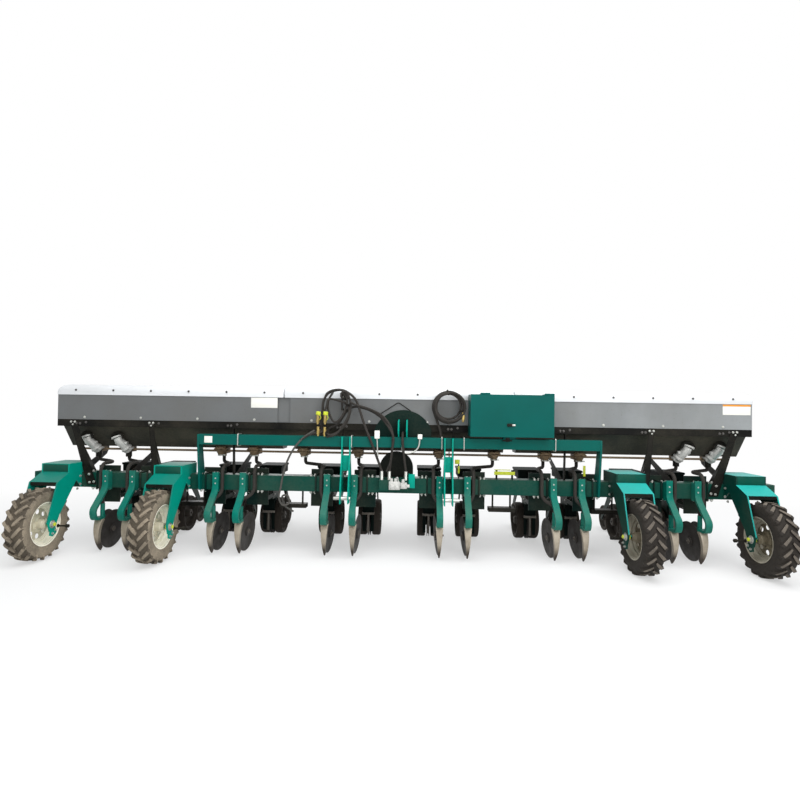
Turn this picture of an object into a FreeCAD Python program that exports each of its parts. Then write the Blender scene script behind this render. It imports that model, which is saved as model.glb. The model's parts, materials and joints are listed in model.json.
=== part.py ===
# Twelve-row precision planter on a square toolbar: fertilizer openers in front, seeding row
# units behind, a full-width fertilizer hopper above and four lugged ground wheels ahead.
# Millimetres. +X is to the right seen from the tractor, -Y points to the tractor, +Z is up.
import FreeCAD
import Part
import Sketcher
import math
import os
import re
from FreeCAD import Placement, Rotation, Vector

doc = FreeCAD.newDocument("Planter")
sheet = doc.addObject("Spreadsheet::Sheet", "Sizes")

SIZES = {
    # toolbar, the square tube that carries everything
    "BarHalf": 3650, "BarSide": 150, "BarWall": 10, "BarY": -290, "BarZ": 685,
    # upper beam, the legs at its ends and the hitch
    "BeamHalf": 1945, "BeamSide": 100, "BeamWall": 6, "BeamAhead": 120, "BeamZ": 1114,
    "LegWidth": 20, "LegDepth": 40, "HitchHalf": 495, "HitchGap": 64, "HitchPlate": 12,
    "LowerPinRadius": 18.3, "LowerPinAhead": 259, "LowerPinZ": 580, "LowerPinFree": 60,
    "LugRound": 48, "TopPinRadius": 15.9, "TopPinAhead": 190, "TopPinZ": 1275, "TopPinGap": 0.25,
    "MastGap": 66, "MastPlate": 14, "MastX": 50, "ArchWidth": 560, "ArchTopZ": 1430,
    "ArchPlate": 10, "ArchRise": 190,
    # ridges, rows and openers
    "RidgePitch": 1100, "RowOffset": 220, "OpenerOffset": 135,
    # ground wheels and their forks
    "WheelRadius": 330, "TyreWidth": 180, "TyreShoulder": 42, "TreadHalf": 72, "BeadHalf": 74,
    "BeadRadius": 186, "FlangeRadius": 201, "RimWall": 6, "HubAhead": 495, "HubRadius": 44,
    "HubHalf": 88,
    "AxleRadius": 16, "AxleGap": 0.08, "RimHoleRadius": 26, "RimHoleCircle": 112, "RimHoles": 8,
    "ForkHalf": 137, "ForkPlate": 12, "ForkTopZ": 862, "HoodRearZ": 779, "HoodFrontZ": 706,
    "ForkTopAhead": 270, "HoodAhead": 435, "HoodLip": 34, "SheetPlate": 8, "ClampGap": 0.3,
    "ForkEnd": 62, "ForkHeel": 93, "ClampDrop": 85, "TyreFlats": 20, "LugHeight": 20, "LugWidth": 26,
    "LugInset": 3, "LugRoot": 38, "LugLean": 45,
    # hopper, lids and their stand
    "HopperHalf": 3446, "JointInner": 1080, "JointWidth": 125, "HopperAhead": 50,
    "HopperDepth": 660, "HopperTopZ": 1560, "PanelZ": 1287, "TroughZ": 1005, "TroughWidth": 160,
    "HopperShelf": 45, "HopperWall": 4, "StripInset": 15,
    "LidTopZ": 1640, "LidSkirt": 8, "LidWall": 3, "LidRound": 45, "LidShoulder": 31.5, "LidGap": 6,
    "LidRib": 5, "LidSeat": 0.3, "LidClear": 6, "HingeRadius": 8, "HingePin": 4,
    "HingeLength": 45, "HingeInset": 160, "HingeGap": 0.06, "HingeOut": 16, "ChannelWidth": 40,
    "ChannelZ": 1218, "StrutWidth": 60, "StrutPlate": 10, "OuterPost": 3300, "OuterLean": 220,
    "SecondPost": 2500, "SecondLean": 110, "ArmRise": 130, "ArmDrop": 100,
    # metering and hoses
    "MeterWidth": 90, "MeterDepth": 120, "MeterHeight": 62, "SpoutRadius": 24, "SpoutDrop": 28,
    "ShaftRadius": 11, "ShaftHalf": 3330, "HoseRadius": 17, "HoseClear": 45, "HoseFall": 60,
    "Hose1Beside": -60, "Hose2Beside": 60, "Hose3Beside": -110, "Hose4Beside": -60,
    "Hose5Beside": 60, "Hose6Beside": 60, "Meter1X": 420, "Meter2X": 985, "Meter3X": 1510,
    "Meter4X": 1855, "Meter5X": 2880, "Meter6X": 3200,
    # hydraulic hoses, their manifold and the arms that hold them
    "LineRadius": 12, "FittingRadius": 17, "ManifoldX": -32,
    "ManifoldWidth": 278, "ManifoldHeight": 100, "ManifoldDepth": 105, "ManifoldDrop": 10,
    "HangerX": -551, "HangerWidth": 16, "HangerZ": 1420, "HangerTopZ": 1608, "HangerReach": 76,
    "TiedLoopX": -522, "TiedLoopZ": 1566, "TiedLoopRadius": 36, "TiedLoopAhead": 84,
    "CoilX": 496, "CoilZ": 1462, "CoilRadius": 160, "CoilStep": 7, "CoilPitch": 27,
    "CoilTurns": 3.25, "CoilAhead": 60, "CoilArmZ": 1298, "CoilArmHeight": 28, "CoilArmWidth": 20,
    # fertilizer openers
    "BracketWidth": 62, "BracketDepth": 45, "BracketRise": 14, "ShankWidth": 60,
    "ShankThick": 24, "ShankTopZ": 790, "ShankKneeZ": 620, "ToeAhead": 338, "ToeZ": 425,
    "HeelAhead": 310, "HeelZ": 338, "TailAhead": 185, "KneeBend": 120, "ToeBend": 60,
    "HeelBend": 45, "DiscRadius": 190, "DiscThick": 5, "DiscZ": 196, "DiscAhead": 35,
    "DiscTilt": 7, "DiscPoint": 40, "DiscHub": 46, "DiscHubThick": 14, "DiscHalf": 23,
    "CarrierThick": 20, "SpindleRadius": 14, "SpindleHalf": 18.3, "KnifeDepth": 42,
    "KnifeTop": 74, "KnifeTip": 10, "KnifeClear": 10, "KnifeHigh": 38, "KnifeLow": 48,
    "BootRadius": 21, "BootAhead": 175, "BootTopZ": 470,
    # row units
    "HeadWidth": 220, "HeadPlate": 12, "HeadTopZ": 815, "HeadLowZ": 440, "EarX": 60,
    "EarPlate": 10, "EarLength": 80, "BoltRadius": 8, "BoltSpread": 35, "BoltGap": 0.3,
    "LinkWidth": 8, "LinkHeight": 42, "LinkLength": 310, "LinkUpperZ": 660, "LinkLowerZ": 490,
    "LinkGap": 0.3, "FrameBehind": 405, "FrameLength": 560, "FrameTopZ": 700,
    "FrameLowZ": 440, "FrameTail": 120, "DeckZ": 520, "DeckThick": 12, "CoreX": 16, "CorePlate": 6,
    "CoreBehind": 590, "CoreLength": 260, "CoreLow": 150, "CoreToe": 104, "CoreHeel": 221,
    "GaugeBehind": 775, "GaugeRadius": 200,
    "GaugeWidth": 90, "GaugeInner": 32, "GaugeHub": 48, "GaugeDish": 22, "GaugeTyre": 38,
    "StubRadius": 15, "StubGap": 0.08, "StubShort": 18, "SeedRadius": 178, "SeedBehind": 715, "SeedZ": 190,
    "SeedThick": 4, "SeedX": 9, "SeedSpindle": 12, "PressBehind": 1255, "PressRadius": 150,
    "PressWidth": 100, "PressHub": 34, "PressDish": 30, "PressTyre": 30, "PressAxle": 10,
    "PressEnd": 26, "BoxWidth": 250, "BoxBehind": 540, "BoxLength": 300, "BoxTopZ": 795,
    "BoxLid": 22, "BoxLip": 8, "NeckInset": 20, "MeterRadius": 62, "SeedMeterZ": 600,
    # toolbox on the upper beam
    "ToolboxX": 1081, "ToolboxWidth": 782, "ToolboxZ": 1190, "ToolboxHeight": 400,
    "ToolboxDepth": 230, "ToolboxBack": 10, "ToolboxWall": 3, "DoorThick": 12, "DoorGap": 0.5,
    "DoorHinge": 300, "FootHalf": 60,
    # steps under the toolbar
    "StepInnerX": 1035, "StepOuterX": 2035, "StepLength": 260, "StepDepth": 100, "StepZ": 440,
    "StepThick": 40, "StepRod": 9,
}
for row, (alias, number) in enumerate(SIZES.items(), start=1):
    sheet.set("A%d" % row, alias)
    sheet.set("B%d" % row, str(number))
    sheet.setAlias("B%d" % row, alias)
doc.recompute()


def linked(text):
    """Writes the sheet's name before each alias, which starts with a capital letter."""
    return re.sub(r"\b([A-Z]\w+)", r"Sizes.\1", str(text))


def size(text):
    return float(sheet.evalExpression(linked(text)))


def bind(thing, prop, text):
    thing.setExpression(prop, linked(text))


def place(thing, at):
    for axis, text in zip("xyz", at):
        bind(thing, "Placement.Base." + axis, text)


def box(name, corner, lengths):
    """A block from its low corner, every length tied to the sheet."""
    block = doc.addObject("Part::Box", name)
    for prop, text in zip(("Length", "Width", "Height"), lengths):
        bind(block, prop, text)
    place(block, corner)
    return block


def rod(name, start, radius, length, along="X"):
    """A round bar along X, Y or Z from the middle of its first end."""
    turn = {"X": Rotation(Vector(0, 1, 0), 90), "Y": Rotation(Vector(1, 0, 0), -90), "Z": Rotation()}
    bar = doc.addObject("Part::Cylinder", name)
    bind(bar, "Radius", radius)
    bind(bar, "Height", length)
    bar.Placement = Placement(Vector(), turn[along])
    place(bar, start)
    return bar


def outline(sketch, points):
    """Closes straight edges through points that are each held by two expressions."""
    spots = [Vector(size(across), size(up), 0) for across, up in points]
    for index, spot in enumerate(spots):
        sketch.addGeometry(Part.LineSegment(spot, spots[(index + 1) % len(spots)]), False)
    for index, (across, up) in enumerate(points):
        nearest = (index + 1) % len(points)
        sketch.addConstraint(Sketcher.Constraint("Coincident", index, 2, nearest, 1))
        for kind, text in (("DistanceX", across), ("DistanceY", up)):
            held = Sketcher.Constraint(kind, -1, 1, index, 1, size(text))
            bind(sketch, "Constraints[%d]" % sketch.addConstraint(held), text)


def plate(name, points, start, thick, side="X"):
    """An outline in YZ pushed along X, or in XY pushed along Z."""
    turn = {"X": Rotation(0.5, 0.5, 0.5, 0.5), "Z": Rotation()}
    sketch = doc.addObject("Sketcher::SketchObject", name + "_sketch")
    outline(sketch, points)
    sketch.Placement = Placement(Vector(), turn[side])
    bind(sketch, "Placement.Base." + side.lower(), start)
    sheet_metal = doc.addObject("Part::Extrusion", name)
    sheet_metal.Base = sketch
    sheet_metal.DirMode = "Normal"
    sheet_metal.Solid = True
    bind(sheet_metal, "LengthFwd", thick)
    return sheet_metal


def fuse(name, pieces):
    whole = doc.addObject("Part::MultiFuse", name)
    whole.Shapes = pieces
    whole.Refine = True
    return whole


def cut(name, base, tool):
    left = doc.addObject("Part::Cut", name)
    left.Base = base
    left.Tool = tool
    return left


def tube(name, corner, lengths, wall, along):
    """A rectangular tube, open at both ends."""
    inner = [length if axis == along else "%s - 2 * %s" % (length, wall)
             for axis, length in zip("XYZ", lengths)]
    inset = [start if axis == along else "%s + %s" % (start, wall)
             for axis, start in zip("XYZ", corner)]
    return cut(name, box(name + "_outer", corner, lengths), box(name + "_inner", inset, inner))


nodes = {}


def node(name, thing):
    """Keeps an object as one sub-part under its own file name."""
    thing.Label = name
    nodes[name] = thing


def solids(name, shapes):
    """Keeps several like pieces, already in place, as one sub-part."""
    group = doc.addObject("Part::Feature", name)
    group.Shape = Part.makeCompound([solid for shape in shapes for solid in shape.Solids])
    node(name, group)


def copies(shape, across):
    return [shape.translated(Vector(at, 0, 0)) for at in across]


def mirrored(shape):
    return shape.mirror(Vector(), Vector(1, 0, 0))


def ready(thing):
    doc.recompute()
    return thing.Shape


def swept(points, bends, section, upright=None):
    """Carries a section along straight runs joined by tangent arcs."""
    edges = []
    here = points[0]
    for before, corner, after, bend in zip(points, points[1:], points[2:], bends):
        to_corner = (corner - before).normalize()
        onward = (after - corner).normalize()
        half_turn = to_corner.getAngle(onward) / 2
        reach = bend * math.tan(half_turn)
        into = corner - to_corner * reach
        out = corner + onward * reach
        inward = (onward - to_corner).normalize()
        middle = corner + inward * (bend / math.cos(half_turn) - bend)
        edges.append(Part.LineSegment(here, into).toShape())
        edges.append(Part.Arc(into, middle, out).toShape())
        here = out
    edges.append(Part.LineSegment(here, points[-1]).toShape())
    path = Part.Wire(edges)
    pipe = Part.BRepOffsetAPI.MakePipeShell(path)
    if upright:
        pipe.setBiNormalMode(upright)
    else:
        pipe.setFrenetMode(False)
    pipe.setTransitionMode(0)
    pipe.add(section)
    pipe.build()
    pipe.makeSolid()
    return pipe.shape()


def hose(points, radius):
    """A round hose along its route; each arc takes the same share of its shorter run."""
    run_share = 0.45
    bends = []
    for before, corner, after in zip(points, points[1:], points[2:]):
        run = min((corner - before).Length, (after - corner).Length)
        half_turn = (corner - before).getAngle(after - corner) / 2
        bends.append(run_share * run / math.tan(half_turn))
    start = (points[1] - points[0]).normalize()
    ring = Part.Wire(Part.Circle(points[0], start, radius).toShape())
    solid = swept(points, bends, ring)
    print("hose: smallest bend %.0f mm, volume/section %.0f mm" %
          (min(bends), solid.Volume / (math.pi * radius ** 2)))
    return solid


bar_front = "(BarY - BarSide / 2)"
bar_rear = "(BarY + BarSide / 2)"
bar_top = "(BarZ + BarSide / 2)"
bar_low = "(BarZ - BarSide / 2)"
ridge = size("RidgePitch")
row_x = sorted(side * (half * ridge + shift * size("RowOffset"))
               for side in (-1, 1) for half in (0.5, 1.5, 2.5) for shift in (-1, 1))
opener_x = sorted(side * (half * ridge + shift * size("OpenerOffset"))
                  for side in (-1, 1) for half in (0.5, 1.5, 2.5) for shift in (-1, 1))
wheel_x = [-3 * ridge, -2 * ridge, 2 * ridge, 3 * ridge]


# ---- toolbar and upper beam -------------------------------------------------------------
node("toolbar", tube("bar", ("-BarHalf", bar_front, bar_low),
                     ("2 * BarHalf", "BarSide", "BarSide"), "BarWall", "X"))

beam_front = "(BarY - BeamAhead - BeamSide / 2)"
beam_rear = "(BarY - BeamAhead + BeamSide / 2)"
beam_top = "(BeamZ + BeamSide / 2)"
beam_low = "(BeamZ - BeamSide / 2)"
node("upper_beam", tube("beam", ("-BeamHalf", beam_front, beam_low),
                        ("2 * BeamHalf", "BeamSide", "BeamSide"), "BeamWall", "X"))
leg_outline = [(beam_front, beam_top), (beam_rear, beam_top), (beam_rear, beam_low),
               ("BarY", bar_top), (bar_front, bar_top), (bar_front, bar_low),
               (bar_front + " - LegDepth", bar_low), (beam_front, beam_low)]
leg = ready(plate("beam_leg", leg_outline, "BeamHalf + ClampGap", "LegWidth"))
solids("beam_legs", [mirrored(leg), leg])


# ---- three-point hitch ------------------------------------------------------------------
pin_y = "(BarY - LowerPinAhead)"
hitch_outline = [(bar_front, bar_top), (bar_front, bar_low),
                 (pin_y + " + LugRound", "LowerPinZ - LugRound"),
                 (pin_y + " - LugRound", "LowerPinZ - LugRound"),
                 (pin_y + " - LugRound", "LowerPinZ + LugRound"),
                 (beam_front + " - LugRound", "BeamZ - BeamSide"),
                 (beam_front + " - LugRound", beam_top), (beam_front, beam_top),
                 (beam_front, "BeamZ - BeamSide")]
lower_hitch = fuse("lower_hitch", [
    plate("hitch_near", hitch_outline, "HitchHalf - HitchGap / 2 - HitchPlate", "HitchPlate"),
    plate("hitch_far", hitch_outline, "HitchHalf + HitchGap / 2", "HitchPlate"),
    box("hitch_web", ("HitchHalf - HitchGap / 2", beam_front + " - 2 * HitchPlate", "BarZ + BarSide"),
        ("HitchGap", "HitchPlate", "BarSide")),
    rod("hitch_pin", ("HitchHalf - HitchGap / 2 - 2 * HitchPlate", pin_y, "LowerPinZ"),
        "LowerPinRadius", "HitchGap + 3 * HitchPlate + LowerPinFree")])
hitch_shape = ready(lower_hitch)
solids("lower_hitch_plates", [mirrored(hitch_shape), hitch_shape])

hopper_front = "(BarY - HopperAhead)"
arch_rear = "(BarY - HopperAhead - ClampGap)"
mast_front = "(BarY - TopPinAhead - LugRound)"
mast_outline = [(arch_rear + " - ArchPlate", beam_top),
                (arch_rear + " - ArchPlate", "TopPinZ + LugRound + HitchPlate"),
                (mast_front, "TopPinZ + LugRound"), (mast_front, "TopPinZ - LugRound"),
                (beam_front, beam_top)]
arch_low = Vector(size("MastX"), size(arch_rear), size(beam_top))
arch_half = Vector(size("ArchWidth") / 2, 0, 0)
arch_shoulder = Vector(0, 0, size("ArchTopZ - ArchRise - " + beam_top))
arch_crown = Vector(0, 0, size("ArchTopZ - " + beam_top))
arch_edges = [
    Part.LineSegment(arch_low - arch_half, arch_low - arch_half + arch_shoulder),
    Part.Arc(arch_low - arch_half + arch_shoulder, arch_low + arch_crown,
             arch_low + arch_half + arch_shoulder),
    Part.LineSegment(arch_low + arch_half + arch_shoulder, arch_low + arch_half),
    Part.LineSegment(arch_low + arch_half, arch_low - arch_half)]
arch_face = Part.Face(Part.Wire([edge.toShape() for edge in arch_edges]))
arch = arch_face.extrude(Vector(0, -size("ArchPlate"), 0))
mast_ribs = fuse("mast_ribs", [
    plate("mast_left", mast_outline, "MastX - MastGap / 2 - MastPlate", "MastPlate"),
    plate("mast_right", mast_outline, "MastX + MastGap / 2", "MastPlate")])
top_hole = rod("top_hole", ("MastX - MastGap / 2 - 2 * MastPlate", "BarY - TopPinAhead", "TopPinZ"),
               "TopPinRadius + TopPinGap", "MastGap + 4 * MastPlate")
solids("mast", [ready(cut("drilled_ribs", mast_ribs, top_hole)).fuse(arch).removeSplitter()])


# ---- ground wheels ----------------------------------------------------------------------
hub_y = "(BarY - HubAhead)"


def revolved(name, points):
    """A PartDesign body turned about the X axis from an outline in XZ."""
    body = doc.addObject("PartDesign::Body", name)
    plane = [item for item in body.Origin.OriginFeatures if item.Role == "XZ_Plane"][0]
    sketch = body.newObject("Sketcher::SketchObject", name + "_profile")
    sketch.AttachmentSupport = (plane, [""])
    sketch.MapMode = "FlatFace"
    outline(sketch, points)
    turned = body.newObject("PartDesign::Revolution", name + "_turned")
    turned.Profile = sketch
    turned.ReferenceAxis = (sketch, ["H_Axis"])
    turned.Angle = 360
    body.Tip = turned
    return body


def both_sides(points):
    """Adds the mirror image of a half outline, so that it closes on itself."""
    return points + [("-(%s)" % across, up) for across, up in reversed(points)]


def holes_round(body, name, radius, circle, count):
    """Drills a ring of holes along X through a turned body."""
    plane = [item for item in body.Origin.OriginFeatures if item.Role == "YZ_Plane"][0]
    axis = [item for item in body.Origin.OriginFeatures if item.Role == "X_Axis"][0]
    sketch = body.newObject("Sketcher::SketchObject", name + "_hole")
    sketch.AttachmentSupport = (plane, [""])
    sketch.MapMode = "FlatFace"
    sketch.addGeometry(Part.Circle(Vector(0, size(circle), 0), Vector(0, 0, 1), size(radius)), False)
    bind(sketch, "Constraints[%d]" % sketch.addConstraint(
        Sketcher.Constraint("Radius", 0, size(radius))), radius)
    bind(sketch, "Constraints[%d]" % sketch.addConstraint(
        Sketcher.Constraint("DistanceY", -1, 1, 0, 3, size(circle))), circle)
    sketch.addConstraint(Sketcher.Constraint("PointOnObject", 0, 3, -2))
    pocket = body.newObject("PartDesign::Pocket", name + "_pocket")
    pocket.Profile = sketch
    pocket.Type = "ThroughAll"
    pocket.Midplane = True
    ring = body.newObject("PartDesign::PolarPattern", name + "_ring")
    ring.Originals = [pocket]
    ring.Axis = (axis, [""])
    ring.Angle = 360
    bind(ring, "Occurrences", count)
    body.Tip = ring


def faceted(profile, flats):
    """A ring of flats about X; the profile gives each corner's place along X and its radius."""
    turn = 2 * math.pi / flats
    faces = []
    for flat in range(flats):
        sides = [(flat - 0.5) * turn, (flat + 0.5) * turn]
        for (start, inner), (end, outer) in zip(profile, profile[1:] + profile[:1]):
            spots = [(start, inner, sides[0]), (end, outer, sides[0]),
                     (end, outer, sides[1]), (start, inner, sides[1])]
            corners = [Vector(across, -radius * math.sin(angle), radius * math.cos(angle))
                       for across, radius, angle in spots]
            faces.append(Part.Face(Part.makePolygon(corners + corners[:1])))
    return Part.makeSolid(Part.makeShell(faces))


flats = int(size("TyreFlats"))
flat_turn = 360 / flats
around_rim = 1 / math.cos(math.radians(flat_turn / 2))
tyre_profile = [(size(across), size(radius) * grown) for across, radius, grown in [
    ("BeadHalf", "BeadRadius", around_rim), ("BeadHalf", "FlangeRadius", around_rim),
    ("TyreWidth / 2", "WheelRadius - 2 * TyreShoulder", 1),
    ("TyreWidth / 2", "WheelRadius - TyreShoulder", 1), ("TreadHalf", "WheelRadius - LugHeight", 1)]]
carcass = faceted(tyre_profile + [(-across, radius) for across, radius in tyre_profile[::-1]], flats)
lug_run = "((TyreWidth / 2 - LugInset) / cos(LugLean) - LugWidth * tan(LugLean))"
lug_reach = "((TyreWidth / 2 - LugInset) / 2)"
lug_top = "sqrt(WheelRadius ^ 2 - %s ^ 2)" % lug_reach
lug_foot = "WheelRadius - LugHeight - LugRoot"
lug = ready(plate("lug", [("-%s / 2" % lug_run, lug_foot), ("-%s / 2" % lug_run, lug_top),
                          ("%s / 2" % lug_run, lug_top), ("%s / 2" % lug_run, lug_foot)],
                  "-LugWidth / 2", "LugWidth"))
lugs = []
for side in (-1, 1):
    leaning_lug = lug.rotated(Vector(), Vector(0, 0, 1), -size("LugLean") * side)
    leaning_lug.translate(Vector(side * size("LugInset + " + lug_reach), 0, 0))
    for flat in range(flats):
        turned_by = (flat + (side + 1) / 4) * flat_turn
        lugs.append(leaning_lug.rotated(Vector(), Vector(1, 0, 0), turned_by))
tyre_shape = carcass.multiFuse(lugs).removeSplitter()
standing = math.degrees(math.atan2(size(lug_reach), size(lug_top)))
tyre_shape.rotate(Vector(), Vector(1, 0, 0), -standing)
rim_inner = "(BeadRadius - RimWall)"
rim = revolved("rim", [
    ("-HubHalf", "AxleRadius + AxleGap"), ("HubHalf", "AxleRadius + AxleGap"),
    ("HubHalf", "HubRadius"), ("RimWall", "HubRadius"), ("RimWall", rim_inner),
    ("BeadHalf + RimWall", rim_inner), ("BeadHalf + RimWall", "FlangeRadius"),
    ("BeadHalf", "FlangeRadius"), ("BeadHalf", "BeadRadius"), ("-BeadHalf", "BeadRadius"),
    ("-BeadHalf", "FlangeRadius"), ("-BeadHalf - RimWall", "FlangeRadius"),
    ("-BeadHalf - RimWall", rim_inner), ("-RimWall", rim_inner), ("-RimWall", "HubRadius"),
    ("-HubHalf", "HubRadius")])
holes_round(rim, "rim", "RimHoleRadius", "RimHoleCircle", "RimHoles")
rim_shape = ready(rim)
tyre_shapes = {True: tyre_shape, False: tyre_shape.mirror(Vector(), Vector(0, 1, 0))}
for number, across in enumerate(wheel_x, start=1):
    hub = Vector(across, size(hub_y), size("WheelRadius"))
    solids("ground_wheel_tyre_%d" % number, [tyre_shapes[across < 0].translated(hub)])
    solids("ground_wheel_rim_%d" % number, [rim_shape.translated(hub)])

fork_top = "(BarY - ForkTopAhead)"
fork_front = "(BarY - HoodAhead)"
hub_z = "WheelRadius"
fork_outline = [
    (fork_top, "ForkTopZ"), (fork_top, "HoodRearZ"), (fork_front, "HoodFrontZ"),
    (hub_y + " - ForkEnd", hub_z + " + ForkEnd / 2"), (hub_y + " - ForkEnd / 2", hub_z + " - ForkEnd"),
    (hub_y + " + ForkEnd / 2", hub_z + " - ForkEnd"), (hub_y + " + ForkHeel", hub_z + " + ForkEnd"),
    (bar_front + " - ClampDrop", bar_low + " + ClampDrop"), (bar_front + " - ClampGap", bar_low),
    (bar_front + " - ClampGap", bar_top + " + ClampGap"),
    (bar_rear, bar_top + " + ClampGap"), (bar_rear, "ForkTopZ")]
fork_inner = "(ForkHalf - ForkPlate)"
hood_outline = [(fork_top, "HoodRearZ"), (fork_front, "HoodFrontZ"),
                (fork_front, "HoodFrontZ - HoodLip"),
                (fork_front + " + SheetPlate", "HoodFrontZ - HoodLip"),
                (fork_front + " + SheetPlate", "HoodFrontZ - SheetPlate"),
                (fork_top + " + SheetPlate", "HoodRearZ - SheetPlate"),
                (fork_top + " + SheetPlate", "ForkTopZ - SheetPlate"),
                (bar_rear, "ForkTopZ - SheetPlate"), (bar_rear, "ForkTopZ"), (fork_top, "ForkTopZ")]
fork = fuse("fork", [
    plate("fork_left", fork_outline, "-ForkHalf", "ForkPlate"),
    plate("fork_right", fork_outline, fork_inner, "ForkPlate"),
    plate("fork_hood", hood_outline, "-" + fork_inner, "2 * " + fork_inner),
    rod("fork_axle", ("-ForkHalf - ForkPlate", hub_y, hub_z), "AxleRadius", "2 * (ForkHalf + ForkPlate)")])
solids("wheel_forks", copies(ready(fork), wheel_x))


# ---- fertilizer hopper ------------------------------------------------------------------
hopper_rear = "(BarY - HopperAhead + HopperDepth)"
trough_middle = "(BarY - HopperAhead + HopperDepth / 2)"
shell_outline = [
    (hopper_front, "HopperTopZ"), (hopper_front, "PanelZ"),
    (hopper_front + " + HopperShelf", "PanelZ"),
    (trough_middle + " - TroughWidth / 2", "TroughZ"),
    (trough_middle + " + TroughWidth / 2", "TroughZ"),
    (hopper_rear + " - HopperShelf", "PanelZ"), (hopper_rear, "PanelZ"),
    (hopper_rear, "HopperTopZ")]
room_outline = [
    (hopper_front + " + HopperWall", "HopperTopZ + HopperWall"),
    (hopper_front + " + HopperWall", "PanelZ + HopperWall"),
    (hopper_front + " + HopperShelf + HopperWall", "PanelZ + HopperWall"),
    (trough_middle + " - TroughWidth / 2 + HopperWall / 2", "TroughZ + HopperWall"),
    (trough_middle + " + TroughWidth / 2 - HopperWall / 2", "TroughZ + HopperWall"),
    (hopper_rear + " - HopperShelf - HopperWall", "PanelZ + HopperWall"),
    (hopper_rear + " - HopperWall", "PanelZ + HopperWall"),
    (hopper_rear + " - HopperWall", "HopperTopZ + HopperWall")]


def hinge_spots(low, high):
    """Three hinges on each lid: near both ends and in the middle."""
    inset = size("HingeInset")
    return [low + inset, (low + high) / 2, high - inset]


def fixed_knuckle(label, across, hinge_y, hinge_z):
    """The barrel that stays, with the pin that runs on into the moving barrel."""
    return [rod(label + "_barrel", (across, hinge_y, hinge_z), "HingeRadius", "HingeLength"),
            rod(label + "_pin", (across, hinge_y, hinge_z), "HingePin", "2 * HingeLength")]


def moving_knuckle(label, across, hinge_y, hinge_z, leaf):
    """The barrel that turns, bored for the pin, with the leaf that carries it."""
    seat = "%s + HingeLength + LidSeat" % across
    bore = rod(label + "_bore", (seat + " - HingePin", hinge_y, hinge_z),
               "HingePin + HingeGap", "HingeLength + 2 * HingePin")
    barrel = rod(label + "_turning", (seat, hinge_y, hinge_z), "HingeRadius", "HingeLength")
    corner, lengths = leaf
    leaf_plate = box(label + "_leaf", [seat] + corner, ["HingeLength"] + lengths)
    return cut(label + "_knuckle", fuse(label + "_solid", [barrel, leaf_plate]), bore)


def hopper_section(name, low, high):
    length = "%s - (%s)" % (high, low)
    pieces = [cut(name + "_shell", plate(name + "_outside", shell_outline, low, length),
                  plate(name + "_room", room_outline, low + " + HopperWall",
                        length + " - 2 * HopperWall"))]
    for number, across in enumerate(hinge_spots(size(low), size(high)), start=1):
        label = "%s_hinge_%d" % (name, number)
        pieces += fixed_knuckle(label, across, lid_hinge_y, lid_hinge_z)
        pieces.append(box(label + "_bracket", (across, hopper_rear, lid_hinge_z + " - HingeLength"),
                          ("HingeLength", "HingeOut", "HingeLength")))
    return pieces


lid_hinge_y = "(BarY - HopperAhead + HopperDepth + HingeOut)"
lid_hinge_z = "(HopperTopZ - LidSkirt - HingeRadius)"
joint_outer = "(JointInner + JointWidth)"
lid_joint = "(JointInner + JointWidth / 2)"
sections = {"left": ("-HopperHalf", "-" + joint_outer), "middle": ("-JointInner", "JointInner"),
            "right": (joint_outer, "HopperHalf")}
for side, (low, high) in sections.items():
    pieces = hopper_section("hopper_" + side, low, high)
    if side == "middle":
        for name, start in (("strip_left", "-" + joint_outer), ("strip_right", "JointInner")):
            pieces.append(box(name, (start, hopper_front + " + StripInset", "PanelZ"),
                              ("JointWidth", "HopperWall",
                               "HopperTopZ - LidSkirt - LidClear - PanelZ")))
    node("hopper_" + side, fuse("hopper_%s_whole" % side, pieces))

lid_front = "(BarY - HopperAhead - LidGap)"
lid_rear = "(BarY - HopperAhead + HopperDepth + LidGap)"
lid_low = "(HopperTopZ - LidSkirt)"
lid_shoulder = "(LidTopZ - LidShoulder)"
lid_outside = [
    (lid_front, lid_low), (lid_rear, lid_low), (lid_rear, lid_shoulder),
    (lid_rear + " - LidRound", "LidTopZ"), (lid_front + " + LidRound", "LidTopZ"),
    (lid_front, lid_shoulder)]
lid_inside = [
    (lid_front + " + LidWall", lid_low + " - LidWall"), (lid_rear + " - LidWall", lid_low + " - LidWall"),
    (lid_rear + " - LidWall", lid_shoulder + " - LidWall"),
    (lid_rear + " - LidRound", "LidTopZ - LidWall"), (lid_front + " + LidRound", "LidTopZ - LidWall"),
    (lid_front + " + LidWall", lid_shoulder + " - LidWall")]
rib_outline = [
    (hopper_front, "HopperTopZ + LidSeat"), (hopper_rear, "HopperTopZ + LidSeat"),
    (hopper_rear, lid_shoulder + " - LidWall"), (lid_rear + " - LidRound", "LidTopZ - LidWall / 2"),
    (lid_front + " + LidRound", "LidTopZ - LidWall / 2"), (hopper_front, lid_shoulder + " - LidWall")]
lid_spans = {"left": ("-HopperHalf - LidGap", "-%s - LidClear" % lid_joint),
             "middle": ("-" + lid_joint, lid_joint),
             "right": (lid_joint + " + LidClear", "HopperHalf + LidGap")}
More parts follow.
